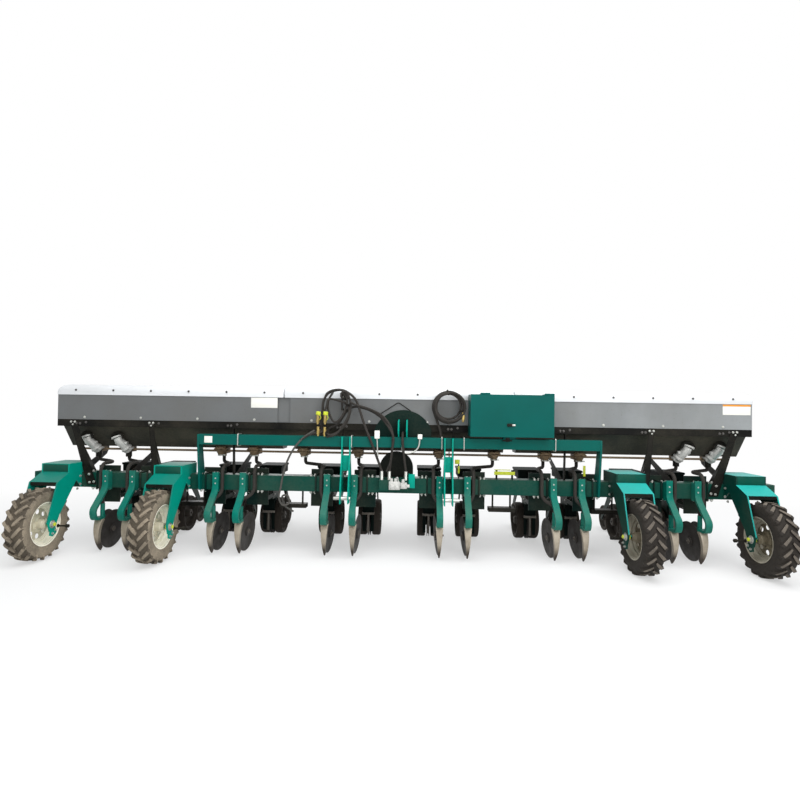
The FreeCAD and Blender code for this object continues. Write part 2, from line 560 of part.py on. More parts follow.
for side, (low, high) in lid_spans.items():
    name = "lid_" + side
    length = "%s - (%s)" % (high, low)
    pieces = [cut(name + "_shell", plate(name + "_outside", lid_outside, low, length),
                  plate(name + "_inside", lid_inside, low + " + LidWall", length + " - 2 * LidWall"))]
    start, end = sections[side]
    leaf = ([lid_rear + " - LidWall", lid_hinge_z],
            ["HingeOut - LidGap + LidWall + HingeRadius / 2", "LidSkirt + 2 * HingeRadius"])
    for number, across in enumerate(hinge_spots(size(start), size(end)), start=1):
        label = "%s_hinge_%d" % (name, number)
        pieces.append(moving_knuckle(label, across, lid_hinge_y, lid_hinge_z, leaf))
        pieces.append(plate(label + "_rib", rib_outline, "%s - HingeLength" % across, "LidRib"))
    node("hopper_lid_" + side, fuse(name + "_whole", pieces))

channel_lengths = ("2 * HopperHalf", "ChannelWidth", "PanelZ - ClampGap - ChannelZ")
solids("hopper_channels", [
    ready(box("channel_front", ("-HopperHalf", hopper_front, "ChannelZ"), channel_lengths)),
    ready(box("channel_rear", ("-HopperHalf", hopper_rear + " - ChannelWidth", "ChannelZ"),
              channel_lengths))])
post_outline = [(hopper_front, "ChannelZ"), (hopper_front + " + ChannelWidth", "ChannelZ"),
                ("BarY + StrutWidth / 2", bar_top + " + ClampGap"),
                ("BarY - StrutWidth / 2", bar_top + " + ClampGap")]
arm_outline = [(bar_rear + " + ClampGap", bar_top), (bar_rear + " + ClampGap", bar_top + " - ArmDrop"),
               (hopper_rear + " - ChannelWidth", bar_top + " + ArmRise"),
               (hopper_rear, bar_top + " + ArmRise + StrutWidth"), (hopper_rear, "ChannelZ"),
               (hopper_rear + " - ChannelWidth", "ChannelZ"),
               (hopper_rear + " - ChannelWidth", bar_top + " + ArmRise + StrutWidth")]


def leaning(top, foot, points, thick):
    """A flat strut whose foot on the toolbar lies nearer the middle than its top."""
    low = size(bar_top)
    lean = (top - foot) / (size("ChannelZ") - low)
    rim = [Vector(foot + lean * (size(up) - low) - thick / 2, size(out), size(up))
           for out, up in points]
    return Part.Face(Part.makePolygon(rim + rim[:1])).extrude(Vector(thick, 0, 0))


# the outer two posts lean; the others, and the arms, stand on ridges, counted from the middle
strut_plate = size("StrutPlate")
posts = [(size("OuterPost"), size("OuterLean")), (size("SecondPost"), size("SecondLean")),
         (1.5 * ridge, 0), (0.5 * ridge, 0)]
struts = []
for side in (-1, 1):
    for top, lean in posts:
        struts.append(leaning(side * top, side * (top - lean), post_outline, strut_plate))
    for across in (3 * ridge, 2.5 * ridge, 1.5 * ridge, 0.5 * ridge):
        struts.append(leaning(side * across, side * across, arm_outline, strut_plate))
solids("hopper_struts", struts)


# ---- metering and fertilizer hoses ------------------------------------------------------
meter_front = "(BarY - HopperAhead + HopperDepth / 2 - MeterDepth / 2)"
meter_low = "(TroughZ - ClampGap - MeterHeight)"
meter_out = [size("Meter%dX" % number) for number in range(1, 7)]
meter = fuse("meter", [
    box("meter_body", ("-MeterWidth / 2", meter_front, meter_low),
        ("MeterWidth", "MeterDepth", "MeterHeight")),
    rod("meter_spout", (0, trough_middle, meter_low + " - SpoutDrop"), "SpoutRadius", "SpoutDrop", "Z")])
meters = copies(ready(meter), [side * out for side in (-1, 1) for out in meter_out])
meter_shaft = rod("meter_shaft", ("-ShaftHalf", meter_front + " - ShaftRadius - ClampGap",
                                  meter_low + " + MeterHeight / 2"), "ShaftRadius", "2 * ShaftHalf")
solids("fertilizer_meters", meters + [ready(meter_shaft)])


def feed_route(side, meter_out, opener_out, beside_out):
    """From a meter's spout over the toolbar, down its front face and into the opener's boot."""
    middle = size(trough_middle)
    low = size(meter_low + " - SpoutDrop - ClampGap")
    top = size(bar_top)
    front = size(bar_front)
    boot = size("BarY - BootAhead")
    clear = size("HoseClear")
    fall = size("HoseFall")
    stations = [
        (meter_out, middle, low), (meter_out, middle, low - fall),
        (beside_out, size(bar_rear) + clear, top + 2 * clear), (beside_out, front, top + 2 * clear),
        (beside_out, front - clear, top + clear),
        (beside_out, front - clear, size("BootTopZ") + 2 * fall),
        (opener_out, boot, size("BootTopZ") + fall), (opener_out, boot, size("BootTopZ + ClampGap"))]
    return [Vector(side * across, along, up) for across, along, up in stations]


openers_out = [x for x in opener_x if x > 0]
beside_out = [x + size("Hose%dBeside" % number) for number, x in enumerate(openers_out, start=1)]
solids("fertilizer_hoses", [hose(feed_route(side, *spots), size("HoseRadius")) for side in (-1, 1)
                            for spots in zip(meter_out, openers_out, beside_out)])


# ---- hydraulic lines --------------------------------------------------------------------
def on_route(points):
    """Points given across, ahead of the hopper's front and above the upper beam."""
    front = size(hopper_front)
    top = size(beam_top)
    return [Vector(across, front - ahead, top + above) for across, ahead, above in points]


line_ends = [(-148, 100, -330), (-74, 100, -330), (86, 100, -330)]
left_routes = [
    [(-746, 76, 0), (-746, 76, 120), (-738, 80, 343), (-690, 70, 430), (-551, 64, 466),
     (-413, 90, 377), (-319, 135, 107), (-254, 150, -41), line_ends[0]],
    [(-690, 66, 0), (-690, 66, 70), (-590, 80, 110), (-470, 65, 308), (-284, 65, 267),
     (-162, 75, 195), (-82, 125, 96), (-33, 165, 11), (-63, 140, -238), line_ends[1]],
    [line_ends[2], (62, 140, -150), (50, 160, -40), (50, 135, 44), (50, 66, 44), (50, 66, 0)]]
line_radius = size("LineRadius")
manifold_top = "(%s - ManifoldDrop)" % bar_top
hydraulics = [hose(on_route(route), line_radius) for route in left_routes]
for end in on_route(line_ends):
    foot = Vector(end.x, end.y, size(manifold_top))
    hydraulics.append(Part.makeCylinder(size("FittingRadius"), end.z - foot.z, foot))
hydraulics.append(ready(box("manifold", (
    "ManifoldX - ManifoldWidth / 2", bar_front + " - ManifoldDepth", manifold_top + " - ManifoldHeight"),
    ("ManifoldWidth", "ManifoldDepth", "ManifoldHeight"))))
hydraulics.append(ready(box("hanger_foot", (
    "HangerX - HangerWidth / 2", hopper_front + " - HangerReach", "HangerZ"),
    ("HangerWidth", "HangerReach", "HangerWidth"))))
hydraulics.append(ready(box("hanger_post", (
    "HangerX - HangerWidth / 2", hopper_front + " - HangerReach", "HangerZ"),
    ("HangerWidth", "HangerWidth", "HangerTopZ - HangerZ"))))
tied_loop = on_route([(size("TiedLoopX"), size("TiedLoopAhead"), size("TiedLoopZ - " + beam_top))])[0]
hydraulics.append(Part.makeTorus(size("TiedLoopRadius"), line_radius, tied_loop, Vector(0, 1, 0)))
left_lines = hydraulics[0].multiFuse(hydraulics[1:])

coil_route = on_route([(420, 66, 0), (420, 66, 60), (372, 66, 190)])
spots_a_turn = 12
for spot in range(int(size("CoilTurns") * spots_a_turn) + 1):
    turns = spot / spots_a_turn
    radius = size("CoilRadius") - size("CoilStep") * turns
    angle = 2 * math.pi * turns
    coil_route.append(Vector(size("CoilX") - radius * math.cos(angle),
                             size(hopper_front + " - CoilAhead") - size("CoilPitch") * turns,
                             size("CoilZ") + radius * math.sin(angle)))
coil_depth = "floor(CoilTurns) * CoilPitch"
coil_end = hopper_front + " - CoilAhead - " + coil_depth
coil_arms = [ready(box(name, ("CoilX - CoilArmWidth / 2", coil_end, low),
                       ("CoilArmWidth", depth, "CoilArmHeight"))) for name, depth, low in [
    ("coil_arm", "CoilAhead + " + coil_depth, "CoilArmZ"),
    ("coil_tie", coil_depth, "CoilZ + CoilRadius - CoilArmHeight")]]
coil = hose(coil_route, line_radius).multiFuse(coil_arms)
solids("hydraulic_lines", [left_lines, coil])


# ---- fertilizer openers -----------------------------------------------------------------
bracket_front = "(BarY - BarSide / 2 - ClampGap - BracketDepth)"
shank_y = bracket_front + " - ShankThick / 2"
shank_points = [Vector(0, size(out), size(up)) for out, up in (
    (shank_y, "ShankTopZ"), (shank_y, "ShankKneeZ"), ("BarY - ToeAhead", "ToeZ"),
    ("BarY - HeelAhead", "HeelZ"), ("BarY - TailAhead", "HeelZ"))]
half_wide = Vector(size("ShankWidth") / 2, 0, 0)
half_thick = Vector(0, size("ShankThick") / 2, 0)
top = shank_points[0]
section = Part.makePolygon([top - half_wide - half_thick, top + half_wide - half_thick,
                            top + half_wide + half_thick, top - half_wide + half_thick,
                            top - half_wide - half_thick])
shank_bar = swept(shank_points, [size(bend) for bend in ("KneeBend", "ToeBend", "HeelBend")],
                  section, Vector(1, 0, 0))
disc_y = "(BarY - DiscAhead)"
carrier_outline = [("BarY - TailAhead", "HeelZ + ShankThick / 2"),
                   ("BarY - TailAhead", "HeelZ - ShankThick / 2"),
                   (disc_y + " - 2 * SpindleRadius", "DiscZ - SpindleRadius"),
                   (disc_y + " + 2 * SpindleRadius", "DiscZ - SpindleRadius"),
                   (disc_y + " + 2 * SpindleRadius", "DiscZ + 2 * SpindleRadius"),
                   ("BarY - TailAhead + 2 * ShankThick", "HeelZ + ShankThick / 2")]
opener_metal = fuse("opener_metal", [
    box("bracket", ("-BracketWidth / 2", bracket_front, bar_low + " - BracketRise"),
        ("BracketWidth", "BracketDepth", "BarSide + 2 * BracketRise")),
    plate("carrier", carrier_outline, "-CarrierThick / 2", "CarrierThick"),
    rod("spindle", ("-SpindleHalf", disc_y, "DiscZ"), "SpindleRadius", "2 * SpindleHalf"),
    rod("boot", (0, "BarY - BootAhead", "HeelZ"), "BootRadius", "BootTopZ - HeelZ", "Z")])
shank = ready(opener_metal).fuse(shank_bar).removeSplitter()
solids("opener_shanks", copies(shank, opener_x))

disc_centre = Vector(0, size(disc_y), size("DiscZ"))
point = math.radians(size("DiscPoint"))
towards_point = Vector(0, -math.cos(point), -math.sin(point))
discs = []
for side in (-1, 1):
    thick = size("DiscThick")
    blade = Part.makeCylinder(size("DiscRadius"), thick, Vector(-thick / 2, 0, 0), Vector(1, 0, 0))
    hub_cap = Part.makeCylinder(size("DiscHub"), size("DiscHubThick"), Vector(), Vector(side, 0, 0))
    disc = blade.fuse(hub_cap)
    disc.rotate(Vector(), Vector(1, 0, 0).cross(towards_point), side * size("DiscTilt"))
    discs.append(disc.translated(disc_centre + Vector(side * size("DiscHalf"), 0, 0)))
solids("opener_discs", [disc for pair in discs for disc in copies(pair, opener_x)])

knife_inner = size("DiscRadius + KnifeClear")
knife_outer = size("DiscRadius + KnifeClear + KnifeDepth")


def around_disc(radius, degrees):
    """A point at an angle above the line from the disc's centre to the front."""
    turn = math.radians(degrees)
    return disc_centre + Vector(-half_knife, -radius * math.cos(turn), radius * math.sin(turn))


half_knife = size("KnifeTop") / 2
high = size("KnifeHigh")
low = -size("KnifeLow")
middle = (high + low) / 2
knife_face = Part.Face(Part.Wire([edge.toShape() for edge in (
    Part.Arc(around_disc(knife_inner, high), around_disc(knife_inner, middle),
             around_disc(knife_inner, low)),
    Part.LineSegment(around_disc(knife_inner, low), around_disc(knife_outer, low)),
    Part.Arc(around_disc(knife_outer, low), around_disc(knife_outer, middle),
             around_disc(knife_outer, high)),
    Part.LineSegment(around_disc(knife_outer, high), around_disc(knife_inner, high)))]))
knife_top = size("HeelZ - ShankThick / 2 - ClampGap")
knife_back = size("BarY")
wedge = Part.Face(Part.makePolygon([
    Vector(-half_knife, knife_back, knife_top), Vector(half_knife, knife_back, knife_top),
    Vector(size("KnifeTip") / 2, knife_back, 0), Vector(-size("KnifeTip") / 2, knife_back, 0),
    Vector(-half_knife, knife_back, knife_top)])).extrude(Vector(0, -2 * knife_outer, 0))
knife = knife_face.extrude(Vector(2 * half_knife, 0, 0)).common(wedge)
solids("opener_knives", copies(knife, opener_x))


# ---- seeding row units ------------------------------------------------------------------
head_rear = "(BarY + BarSide / 2 + ClampGap + HeadPlate)"
head_pieces = [box("head_plate", ("-HeadWidth / 2", bar_rear + " + ClampGap", "HeadLowZ"),
                   ("HeadWidth", "HeadPlate", "HeadTopZ - HeadLowZ"))]
bolt_front = bar_front + " - BoltGap - BoltRadius"
bolt_high = bar_top + " + BoltGap + BoltRadius"
bolt_low = bar_low + " - BoltGap - BoltRadius"
for across in ("-BoltSpread", "BoltSpread"):
    name = "bolt" + across.replace("-", "_left_")
    head_pieces.append(rod(name + "_front", (across, bolt_front, bolt_low + " - BoltRadius"),
                           "BoltRadius", "BarSide + 4 * BoltRadius + 2 * BoltGap", "Z"))
    for level, up in (("high", bolt_high), ("low", bolt_low)):
        head_pieces.append(rod(name + "_" + level, (across, bolt_front, up), "BoltRadius",
                               "BarSide + HeadPlate + 3 * BoltRadius", "Y"))
for label, start in (("left", "-EarX - EarPlate"), ("right", "EarX")):
    head_pieces.append(box("ear_" + label, (start, head_rear, "LinkLowerZ - LinkHeight"),
                           ("EarPlate", "EarLength", "LinkUpperZ - LinkLowerZ + 2 * LinkHeight")))
solids("row_heads", copies(ready(fuse("row_head", head_pieces)), row_x))

link_y = head_rear + " + EarLength / 2"
link_pieces = []
for side, start in (("left", "-EarX - EarPlate - LinkGap - LinkWidth"),
                    ("right", "EarX + EarPlate + LinkGap")):
    for level in ("LinkUpperZ", "LinkLowerZ"):
        name = "link_%s_%s" % (side, level)
        link_pieces.append(fuse(name, [
            box(name + "_bar", (start, link_y, level + " - LinkHeight / 2"),
                ("LinkWidth", "LinkLength", "LinkHeight")),
            rod(name + "_front", (start, link_y, level), "LinkHeight / 2", "LinkWidth"),
            rod(name + "_rear", (start, link_y + " + LinkLength", level), "LinkHeight / 2", "LinkWidth")]))
solids("row_links", [solid for piece in link_pieces for solid in copies(ready(piece), row_x)])

frame_y = "(BarY + FrameBehind)"
frame_end = "(BarY + FrameBehind + FrameLength)"
press_y = "(BarY + PressBehind)"
cheek_outline = [
    (frame_y, "FrameLowZ"), (frame_y + " + EarLength", "FrameLowZ"),
    (frame_end + " - FrameTail", "DeckZ"), (press_y + " - PressEnd", "PressRadius"),
    (press_y + " - PressEnd / 2", "PressRadius - PressEnd"),
    (press_y + " + PressEnd / 2", "PressRadius - PressEnd"), (press_y + " + PressEnd", "PressRadius"),
    (frame_end, "DeckZ + LinkHeight"), (frame_end + " - FrameTail / 2", "FrameTopZ"),
    (frame_y, "FrameTopZ")]
core_front = "(BarY + CoreBehind)"
core_outline = [(core_front, "DeckZ"), (core_front + " + CoreLength", "DeckZ"),
                (core_front + " + CoreHeel", "CoreLow"), (core_front + " + CoreToe", "CoreLow")]
gauge_y = "(BarY + GaugeBehind)"
gauge_outer = "(GaugeInner + GaugeWidth)"
stub_end = "(GaugeInner + GaugeWidth - StubShort)"
frame_pieces = [
    plate("cheek_left", cheek_outline, "-EarX - EarPlate", "EarPlate"),
    plate("cheek_right", cheek_outline, "EarX", "EarPlate"),
    box("frame_front", ("-EarX", frame_y, "FrameLowZ"), ("2 * EarX", "EarPlate", "FrameTopZ - FrameLowZ")),
    box("deck", ("-EarX", core_front, "DeckZ"), ("2 * EarX", "CoreLength", "DeckThick")),
    plate("core_left", core_outline, "-CoreX - CorePlate", "CorePlate"),
    plate("core_right", core_outline, "CoreX", "CorePlate"),
    rod("stub_left", ("-" + stub_end, gauge_y, "GaugeRadius"), "StubRadius", stub_end + " - CoreX"),
    rod("stub_right", ("CoreX", gauge_y, "GaugeRadius"), "StubRadius", stub_end + " - CoreX"),
    rod("press_axle", ("-EarX", press_y, "PressRadius"), "PressAxle", "2 * EarX")]
solids("row_frames", copies(ready(fuse("row_frame", frame_pieces)), row_x))

seed_y = "(BarY + SeedBehind)"
seed_pair = fuse("seed_pair", [
    rod("seed_disc_left", ("-SeedX - SeedThick", seed_y, "SeedZ"), "SeedRadius", "SeedThick"),
    rod("seed_disc_right", ("SeedX", seed_y, "SeedZ"), "SeedRadius", "SeedThick"),
    rod("seed_spindle", ("-CoreX + LinkGap", seed_y, "SeedZ"), "SeedSpindle", "2 * (CoreX - LinkGap)")])
solids("seed_discs", copies(ready(seed_pair), row_x))

box_front = "(BarY + BoxBehind)"
seed_box = fuse("seed_box", [
    box("box_body", ("-BoxWidth / 2", box_front, "FrameTopZ + LinkGap"),
        ("BoxWidth", "BoxLength", "BoxTopZ - BoxLid - FrameTopZ - LinkGap")),
    box("box_lid", ("-BoxWidth / 2 - BoxLip", box_front + " - BoxLip", "BoxTopZ - BoxLid"),
        ("BoxWidth + 2 * BoxLip", "BoxLength + 2 * BoxLip", "BoxLid")),
    box("box_neck", ("-EarX + LinkGap", box_front + " + NeckInset", "SeedMeterZ"),
        ("2 * (EarX - LinkGap)", "2 * MeterRadius", "FrameTopZ + NeckInset - SeedMeterZ")),
    rod("seed_meter", ("-EarX + LinkGap", box_front + " + NeckInset + MeterRadius", "SeedMeterZ"),
        "MeterRadius", "2 * (EarX - LinkGap)")])
solids("seed_boxes", copies(ready(seed_box), row_x))

gauge = revolved("gauge", [
    ("GaugeInner", "StubRadius + StubGap"), (gauge_outer, "StubRadius + StubGap"),
    (gauge_outer, "GaugeHub"), ("GaugeInner + GaugeDish", "GaugeHub"),
    ("GaugeInner + GaugeDish", "GaugeRadius - GaugeTyre"), (gauge_outer, "GaugeRadius - GaugeTyre"),
    (gauge_outer, "GaugeRadius"), ("GaugeInner", "GaugeRadius")])
gauge_shape = ready(gauge)
press = revolved("press", both_sides([
    ("PressWidth / 2", "PressAxle + StubGap"), ("PressWidth / 2", "PressHub"),
    ("PressWidth / 2 - PressDish", "PressHub"),
    ("PressWidth / 2 - PressDish", "PressRadius - PressTyre"),
    ("PressWidth / 2", "PressRadius - PressTyre"), ("PressWidth / 2", "PressRadius")]))
press_shape = ready(press)
for number, across in enumerate(row_x, start=1):
    gauge_hub = Vector(across, size(gauge_y), size("GaugeRadius"))
    pair = [gauge_shape.translated(gauge_hub), mirrored(gauge_shape).translated(gauge_hub)]
    solids("gauge_wheels_%02d" % number, pair)
    press_hub = Vector(across, size(press_y), size("PressRadius"))
    solids("press_wheel_%02d" % number, [press_shape.translated(press_hub)])


# ---- toolbox and steps ------------------------------------------------------------------
toolbox_low = "(ToolboxX - ToolboxWidth / 2)"
toolbox_front = "(BarY - HopperAhead - ToolboxBack - ToolboxDepth)"
toolbox_top = "(ToolboxZ + ToolboxHeight)"
door_hinge_y = toolbox_front + " - DoorGap - DoorThick / 2"
door_hinge_z = toolbox_top + " + HingeRadius"
toolbox_pieces = [
    cut("toolbox_shell",
        box("toolbox_outside", (toolbox_low, toolbox_front, "ToolboxZ"),
            ("ToolboxWidth", "ToolboxDepth", "ToolboxHeight")),
        box("toolbox_room", (toolbox_low + " + ToolboxWall", toolbox_front + " - ToolboxWall",
                             "ToolboxZ + ToolboxWall"),
            ("ToolboxWidth - 2 * ToolboxWall", "ToolboxDepth", "ToolboxHeight - 2 * ToolboxWall"))),
    box("toolbox_foot", ("ToolboxX - FootHalf", beam_front, beam_top + " + ClampGap"),
        ("2 * FootHalf", "BeamSide", "ToolboxZ - BeamZ - BeamSide / 2 - ClampGap"))]
door_pieces = [box("door_panel", (toolbox_low, toolbox_front + " - DoorGap - DoorThick", "ToolboxZ"),
                   ("ToolboxWidth", "DoorThick", "ToolboxHeight - DoorGap"))]
door_leaf = ([toolbox_front + " - DoorGap - DoorThick", toolbox_top + " - DoorThick"],
             ["DoorThick", "DoorThick + HingeRadius"])
for side, shift in (("left", "-DoorHinge"), ("right", "DoorHinge")):
    label = "door_hinge_" + side
    across = "ToolboxX + (%s)" % shift
    toolbox_pieces += fixed_knuckle(label, across, door_hinge_y, door_hinge_z)
    toolbox_pieces.append(box(label + "_bracket", (across, toolbox_front, toolbox_top + " - ToolboxWall"),
                              ("HingeLength", "2 * HingeLength", "ToolboxWall + HingeRadius")))
    toolbox_pieces.append(box(label + "_nose", (across, door_hinge_y, toolbox_top),
                              ("HingeLength", "HingeLength", "HingeRadius")))
    door_pieces.append(moving_knuckle(label, across, door_hinge_y, door_hinge_z, door_leaf))
node("toolbox", fuse("toolbox_whole", toolbox_pieces))
node("toolbox_door", fuse("toolbox_door_whole", door_pieces))

step_rods = [rod("step_rod_" + side, (across, "BarY", "StepZ"), "StepRod",
                 bar_low + " - ClampGap - StepZ", "Z")
             for side, across in (("left", "-StepLength / 3"), ("right", "StepLength / 3"))]
step = fuse("step", [box("step_tread", ("-StepLength / 2", "BarY - StepDepth / 2", "StepZ"),
                         ("StepLength", "StepDepth", "StepThick"))] + step_rods)
solids("foot_steps", copies(ready(step), [side * size(at) for side in (-1, 1)
                                          for at in ("StepInnerX", "StepOuterX")]))


# ---- check and write --------------------------------------------------------------------
doc.recompute()
for thing in doc.Objects:
    if {"Invalid", "Error"} & set(thing.State):
        raise SystemExit("%s is %s" % (thing.Name, thing.State))
os.makedirs("parts", exist_ok=True)
for name, thing in nodes.items():
    if thing.Shape.isNull() or not thing.Shape.isValid():
        raise SystemExit("%s has a bad shape" % name)
    thing.Shape.exportStep("parts/%s.step" % name)
print("%d sub-parts written" % len(nodes))
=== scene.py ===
import json
import math

import bmesh
import bpy
from mathutils import Matrix, Vector

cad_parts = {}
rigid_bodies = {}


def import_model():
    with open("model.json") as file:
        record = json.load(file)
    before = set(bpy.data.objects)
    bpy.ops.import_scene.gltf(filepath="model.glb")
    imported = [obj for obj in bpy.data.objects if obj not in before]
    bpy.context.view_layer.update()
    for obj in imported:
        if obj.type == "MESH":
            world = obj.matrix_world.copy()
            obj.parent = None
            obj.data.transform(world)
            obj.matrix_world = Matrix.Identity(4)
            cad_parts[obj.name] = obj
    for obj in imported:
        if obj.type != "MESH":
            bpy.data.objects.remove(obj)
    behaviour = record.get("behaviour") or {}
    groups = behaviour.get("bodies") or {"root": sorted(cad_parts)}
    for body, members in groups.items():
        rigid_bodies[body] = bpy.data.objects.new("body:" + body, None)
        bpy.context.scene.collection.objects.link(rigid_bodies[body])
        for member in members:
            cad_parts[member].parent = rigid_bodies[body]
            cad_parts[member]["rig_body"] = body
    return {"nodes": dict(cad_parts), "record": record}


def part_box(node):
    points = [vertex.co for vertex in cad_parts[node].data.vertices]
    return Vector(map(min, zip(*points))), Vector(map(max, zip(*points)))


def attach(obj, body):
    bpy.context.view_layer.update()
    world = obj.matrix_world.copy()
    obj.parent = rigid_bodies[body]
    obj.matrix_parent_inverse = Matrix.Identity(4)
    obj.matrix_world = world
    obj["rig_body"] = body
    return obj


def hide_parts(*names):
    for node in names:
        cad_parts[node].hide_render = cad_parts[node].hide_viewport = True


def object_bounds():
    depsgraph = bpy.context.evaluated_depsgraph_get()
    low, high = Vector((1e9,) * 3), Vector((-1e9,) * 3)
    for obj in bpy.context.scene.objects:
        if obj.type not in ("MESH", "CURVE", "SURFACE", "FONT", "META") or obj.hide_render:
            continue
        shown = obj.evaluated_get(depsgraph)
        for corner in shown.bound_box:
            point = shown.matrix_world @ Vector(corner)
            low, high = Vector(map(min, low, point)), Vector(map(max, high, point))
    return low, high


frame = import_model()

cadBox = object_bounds()


# the camera stands between tractor and planter, a little right of the middle
cameraSpec = {"place": (0.168, -5.552, 1.442), "yaw": 0.0293, "up": 0.0167, "roll": 0.0152, "lens": 23.634}


def makeCamera(spec):
    yaw, up, roll = spec["yaw"], spec["up"], spec["roll"]
    side = Vector((math.cos(yaw), math.sin(yaw), 0))
    ahead = Vector((-math.sin(yaw), math.cos(yaw), 0))
    look = ahead * math.cos(up) + Vector((0, 0, math.sin(up)))
    crown = side.cross(look)
    right = side * math.cos(roll) + crown * math.sin(roll)
    top = crown * math.cos(roll) - side * math.sin(roll)
    camera = bpy.data.objects.new("camera", bpy.data.cameras.new("camera"))
    bpy.context.collection.objects.link(camera)
    turn = Matrix((right, top, -look)).transposed().to_4x4()
    camera.matrix_world = Matrix.Translation(spec["place"]) @ turn
    camera.data.lens = spec["lens"]
    camera.data.clip_start = 0.05
    bpy.context.scene.camera = camera


makeCamera(cameraSpec)
bpy.context.scene.view_settings.view_transform = "Standard"
print("camera set")


class Wire:  # a node's output that can stand in a sum
    def __init__(self, finish, socket):
        self.finish = finish
        self.socket = socket

    def worked(self, operation, first, second):
        return self.finish.add("Math", {"operation": operation}, {0: first, 1: second})

    def __add__(self, other):
        return self.worked("ADD", self, other)

    def __radd__(self, other):
        return self.worked("ADD", other, self)

    def __rsub__(self, other):
        return self.worked("SUBTRACT", other, self)

    def __mul__(self, other):
        return self.worked("MULTIPLY", self, other)

    def __rmul__(self, other):
        return self.worked("MULTIPLY", other, self)


class Finish:  # a node tree that is filled with nodes
    def __init__(self, tree):
        self.tree = tree
        self.tree.nodes.clear()

    def add(self, kind, settings=None, values=None, output=0):
        node = self.tree.nodes.new("ShaderNode" + kind)
        for key, value in (settings or {}).items():
            setattr(node, key, value)
        for key, value in (values or {}).items():
            if isinstance(value, Wire):
                self.tree.links.new(value.socket, node.inputs[key])
            else:
                node.inputs[key].default_value = value
        return Wire(self, node.outputs[output]) if node.outputs else None

    def noise(self, scale, detail=3, rough=0.5, stretch=(1, 1, 1)):
        place = self.add("TexCoord", output=3)
        laid = self.add("Mapping", None, {"Vector": place, "Scale": stretch})
        return self.add("TexNoise", None, {"Vector": laid, "Scale": scale, "Detail": detail,
                                           "Roughness": rough})

    def step(self, value, low, high):  # 0 below low, 1 above high
        return self.add("MapRange", None, {"Value": value, "From Min": low, "From Max": high})

    def mix(self, share, first, second):
        return self.add("Mix", {"data_type": "RGBA"}, {0: share, 6: first, 7: second}, 2)

    def axis(self, which):
        place = self.add("TexCoord", output=3)
        return self.add("SeparateXYZ", None, {"Vector": place}, which)

    def faceUp(self):
        normal = self.add("NewGeometry", output=1)
        return self.add("SeparateXYZ", None, {"Vector": normal}, 2)

    def close(self, colour, roughness, metallic, bump, strength, depth, shine=0.5):
        lifted = self.add("Bump", None, {"Height": bump, "Strength": strength, "Distance": depth})
        shader = self.add("BsdfPrincipled", None, {
            "Base Color": colour, "Roughness": roughness, "Metallic": metallic, "Normal": lifted,
            "Specular IOR Level": shine})
        self.add("OutputMaterial", None, {"Surface": shader})


def newMaterial(name):
    material = bpy.data.materials.new(name)
    material.use_nodes = True
    return material, Finish(material.node_tree)


def rgb(red, green, blue):  # a colour named in 0 to 255 steps, made linear
    return tuple((value / 255) ** 2.2 for value in (red, green, blue)) + (1,)


# colour, roughness, dust, and for sheet metal the paler colour of its painted sky reflection, where a panel
# catches more sky
paintSpec = {
    "darkGreen": (rgb(16, 70, 60), 0.35, 0.045), "headGreen": (rgb(12, 40, 36), 0.4, 0.06),
    "beamGreen": (rgb(0, 92, 84), 0.3, 0.01), "teal": (rgb(0, 152, 132), 0.3, 0.0),
    # lit and shaded copies of the forks' teal follow: painted shade on the forks' sides, fronts and hood
    # undersides, and a painted highlight on the right forks' tops
    "tealShade": (rgb(0, 128, 114), 0.32, 0.03), "armTeal": (rgb(0, 112, 98), 0.3, 0.05),
    "boxGreen": (rgb(0, 88, 82), 0.3, 0.0), "bandGreen": (rgb(0, 78, 66), 0.4, 0.03),
    "hoodDark": (rgb(8, 18, 16), 0.5, 0.03), "archGreen": (rgb(4, 36, 32), 0.42, 0.03),
    "turquoise": (rgb(44, 170, 162), 0.3, 0.02), "forkGreen": (rgb(6, 62, 54), 0.34, 0.03),
    # the trough's dark colour is painted shade on the hoppers' lower part
    "black": (rgb(22, 22, 21), 0.4, 0.04), "troughDark": (rgb(60, 60, 55), 0.42, 0.12),
    "shaftDark": (rgb(30, 28, 26), 0.4, 0.15),
    "grey": (rgb(110, 112, 113), 0.36, 0.04, rgb(146, 149, 150)),
}
paintWear = {"dust": rgb(150, 138, 118), "chip": rgb(60, 54, 48), "shade": rgb(20, 30, 28)}


def paintFinish(name, colour, roughness, dust, skyReflection=None):
    material, finish = newMaterial(name + "Paint")
    # painted sky reflection: paler towards the right end, in cloudy patches
    if skyReflection:  # sheet metal that catches more sky towards the right end
        reflectionClouds = finish.noise(0.9, 2, 0.5) * 0.9 + finish.noise(2.6, 3, 0.55, (1, 1, 0.4)) * 3.2
        colour = finish.mix(finish.step(finish.axis(0) + reflectionClouds, 1.4, 5.0), colour, skyReflection)
    broad = finish.noise(2.2, 5, 0.6)
    fine = finish.noise(70, 4, 0.6)
    settled = finish.step(finish.faceUp(), -0.2, 1.0) * 0.5 + 0.5
    dusty = finish.step(broad + fine * 0.35, 0.55, 0.95) * settled * (dust * 4)
    shaded = finish.mix(finish.step(broad, 0.3, 0.75) * 0.22, colour, paintWear["shade"])
    chipped = finish.step(finish.noise(140, 2, 0.4), 0.72, 0.76) * 0.6
    coloured = finish.mix(dusty, finish.mix(chipped, shaded, paintWear["chip"]), paintWear["dust"])
    finish.close(coloured, roughness + dusty * 0.5 + fine * 0.08, 0.0, fine + broad * 2, 0.08, 0.002, 0.09)
    return material


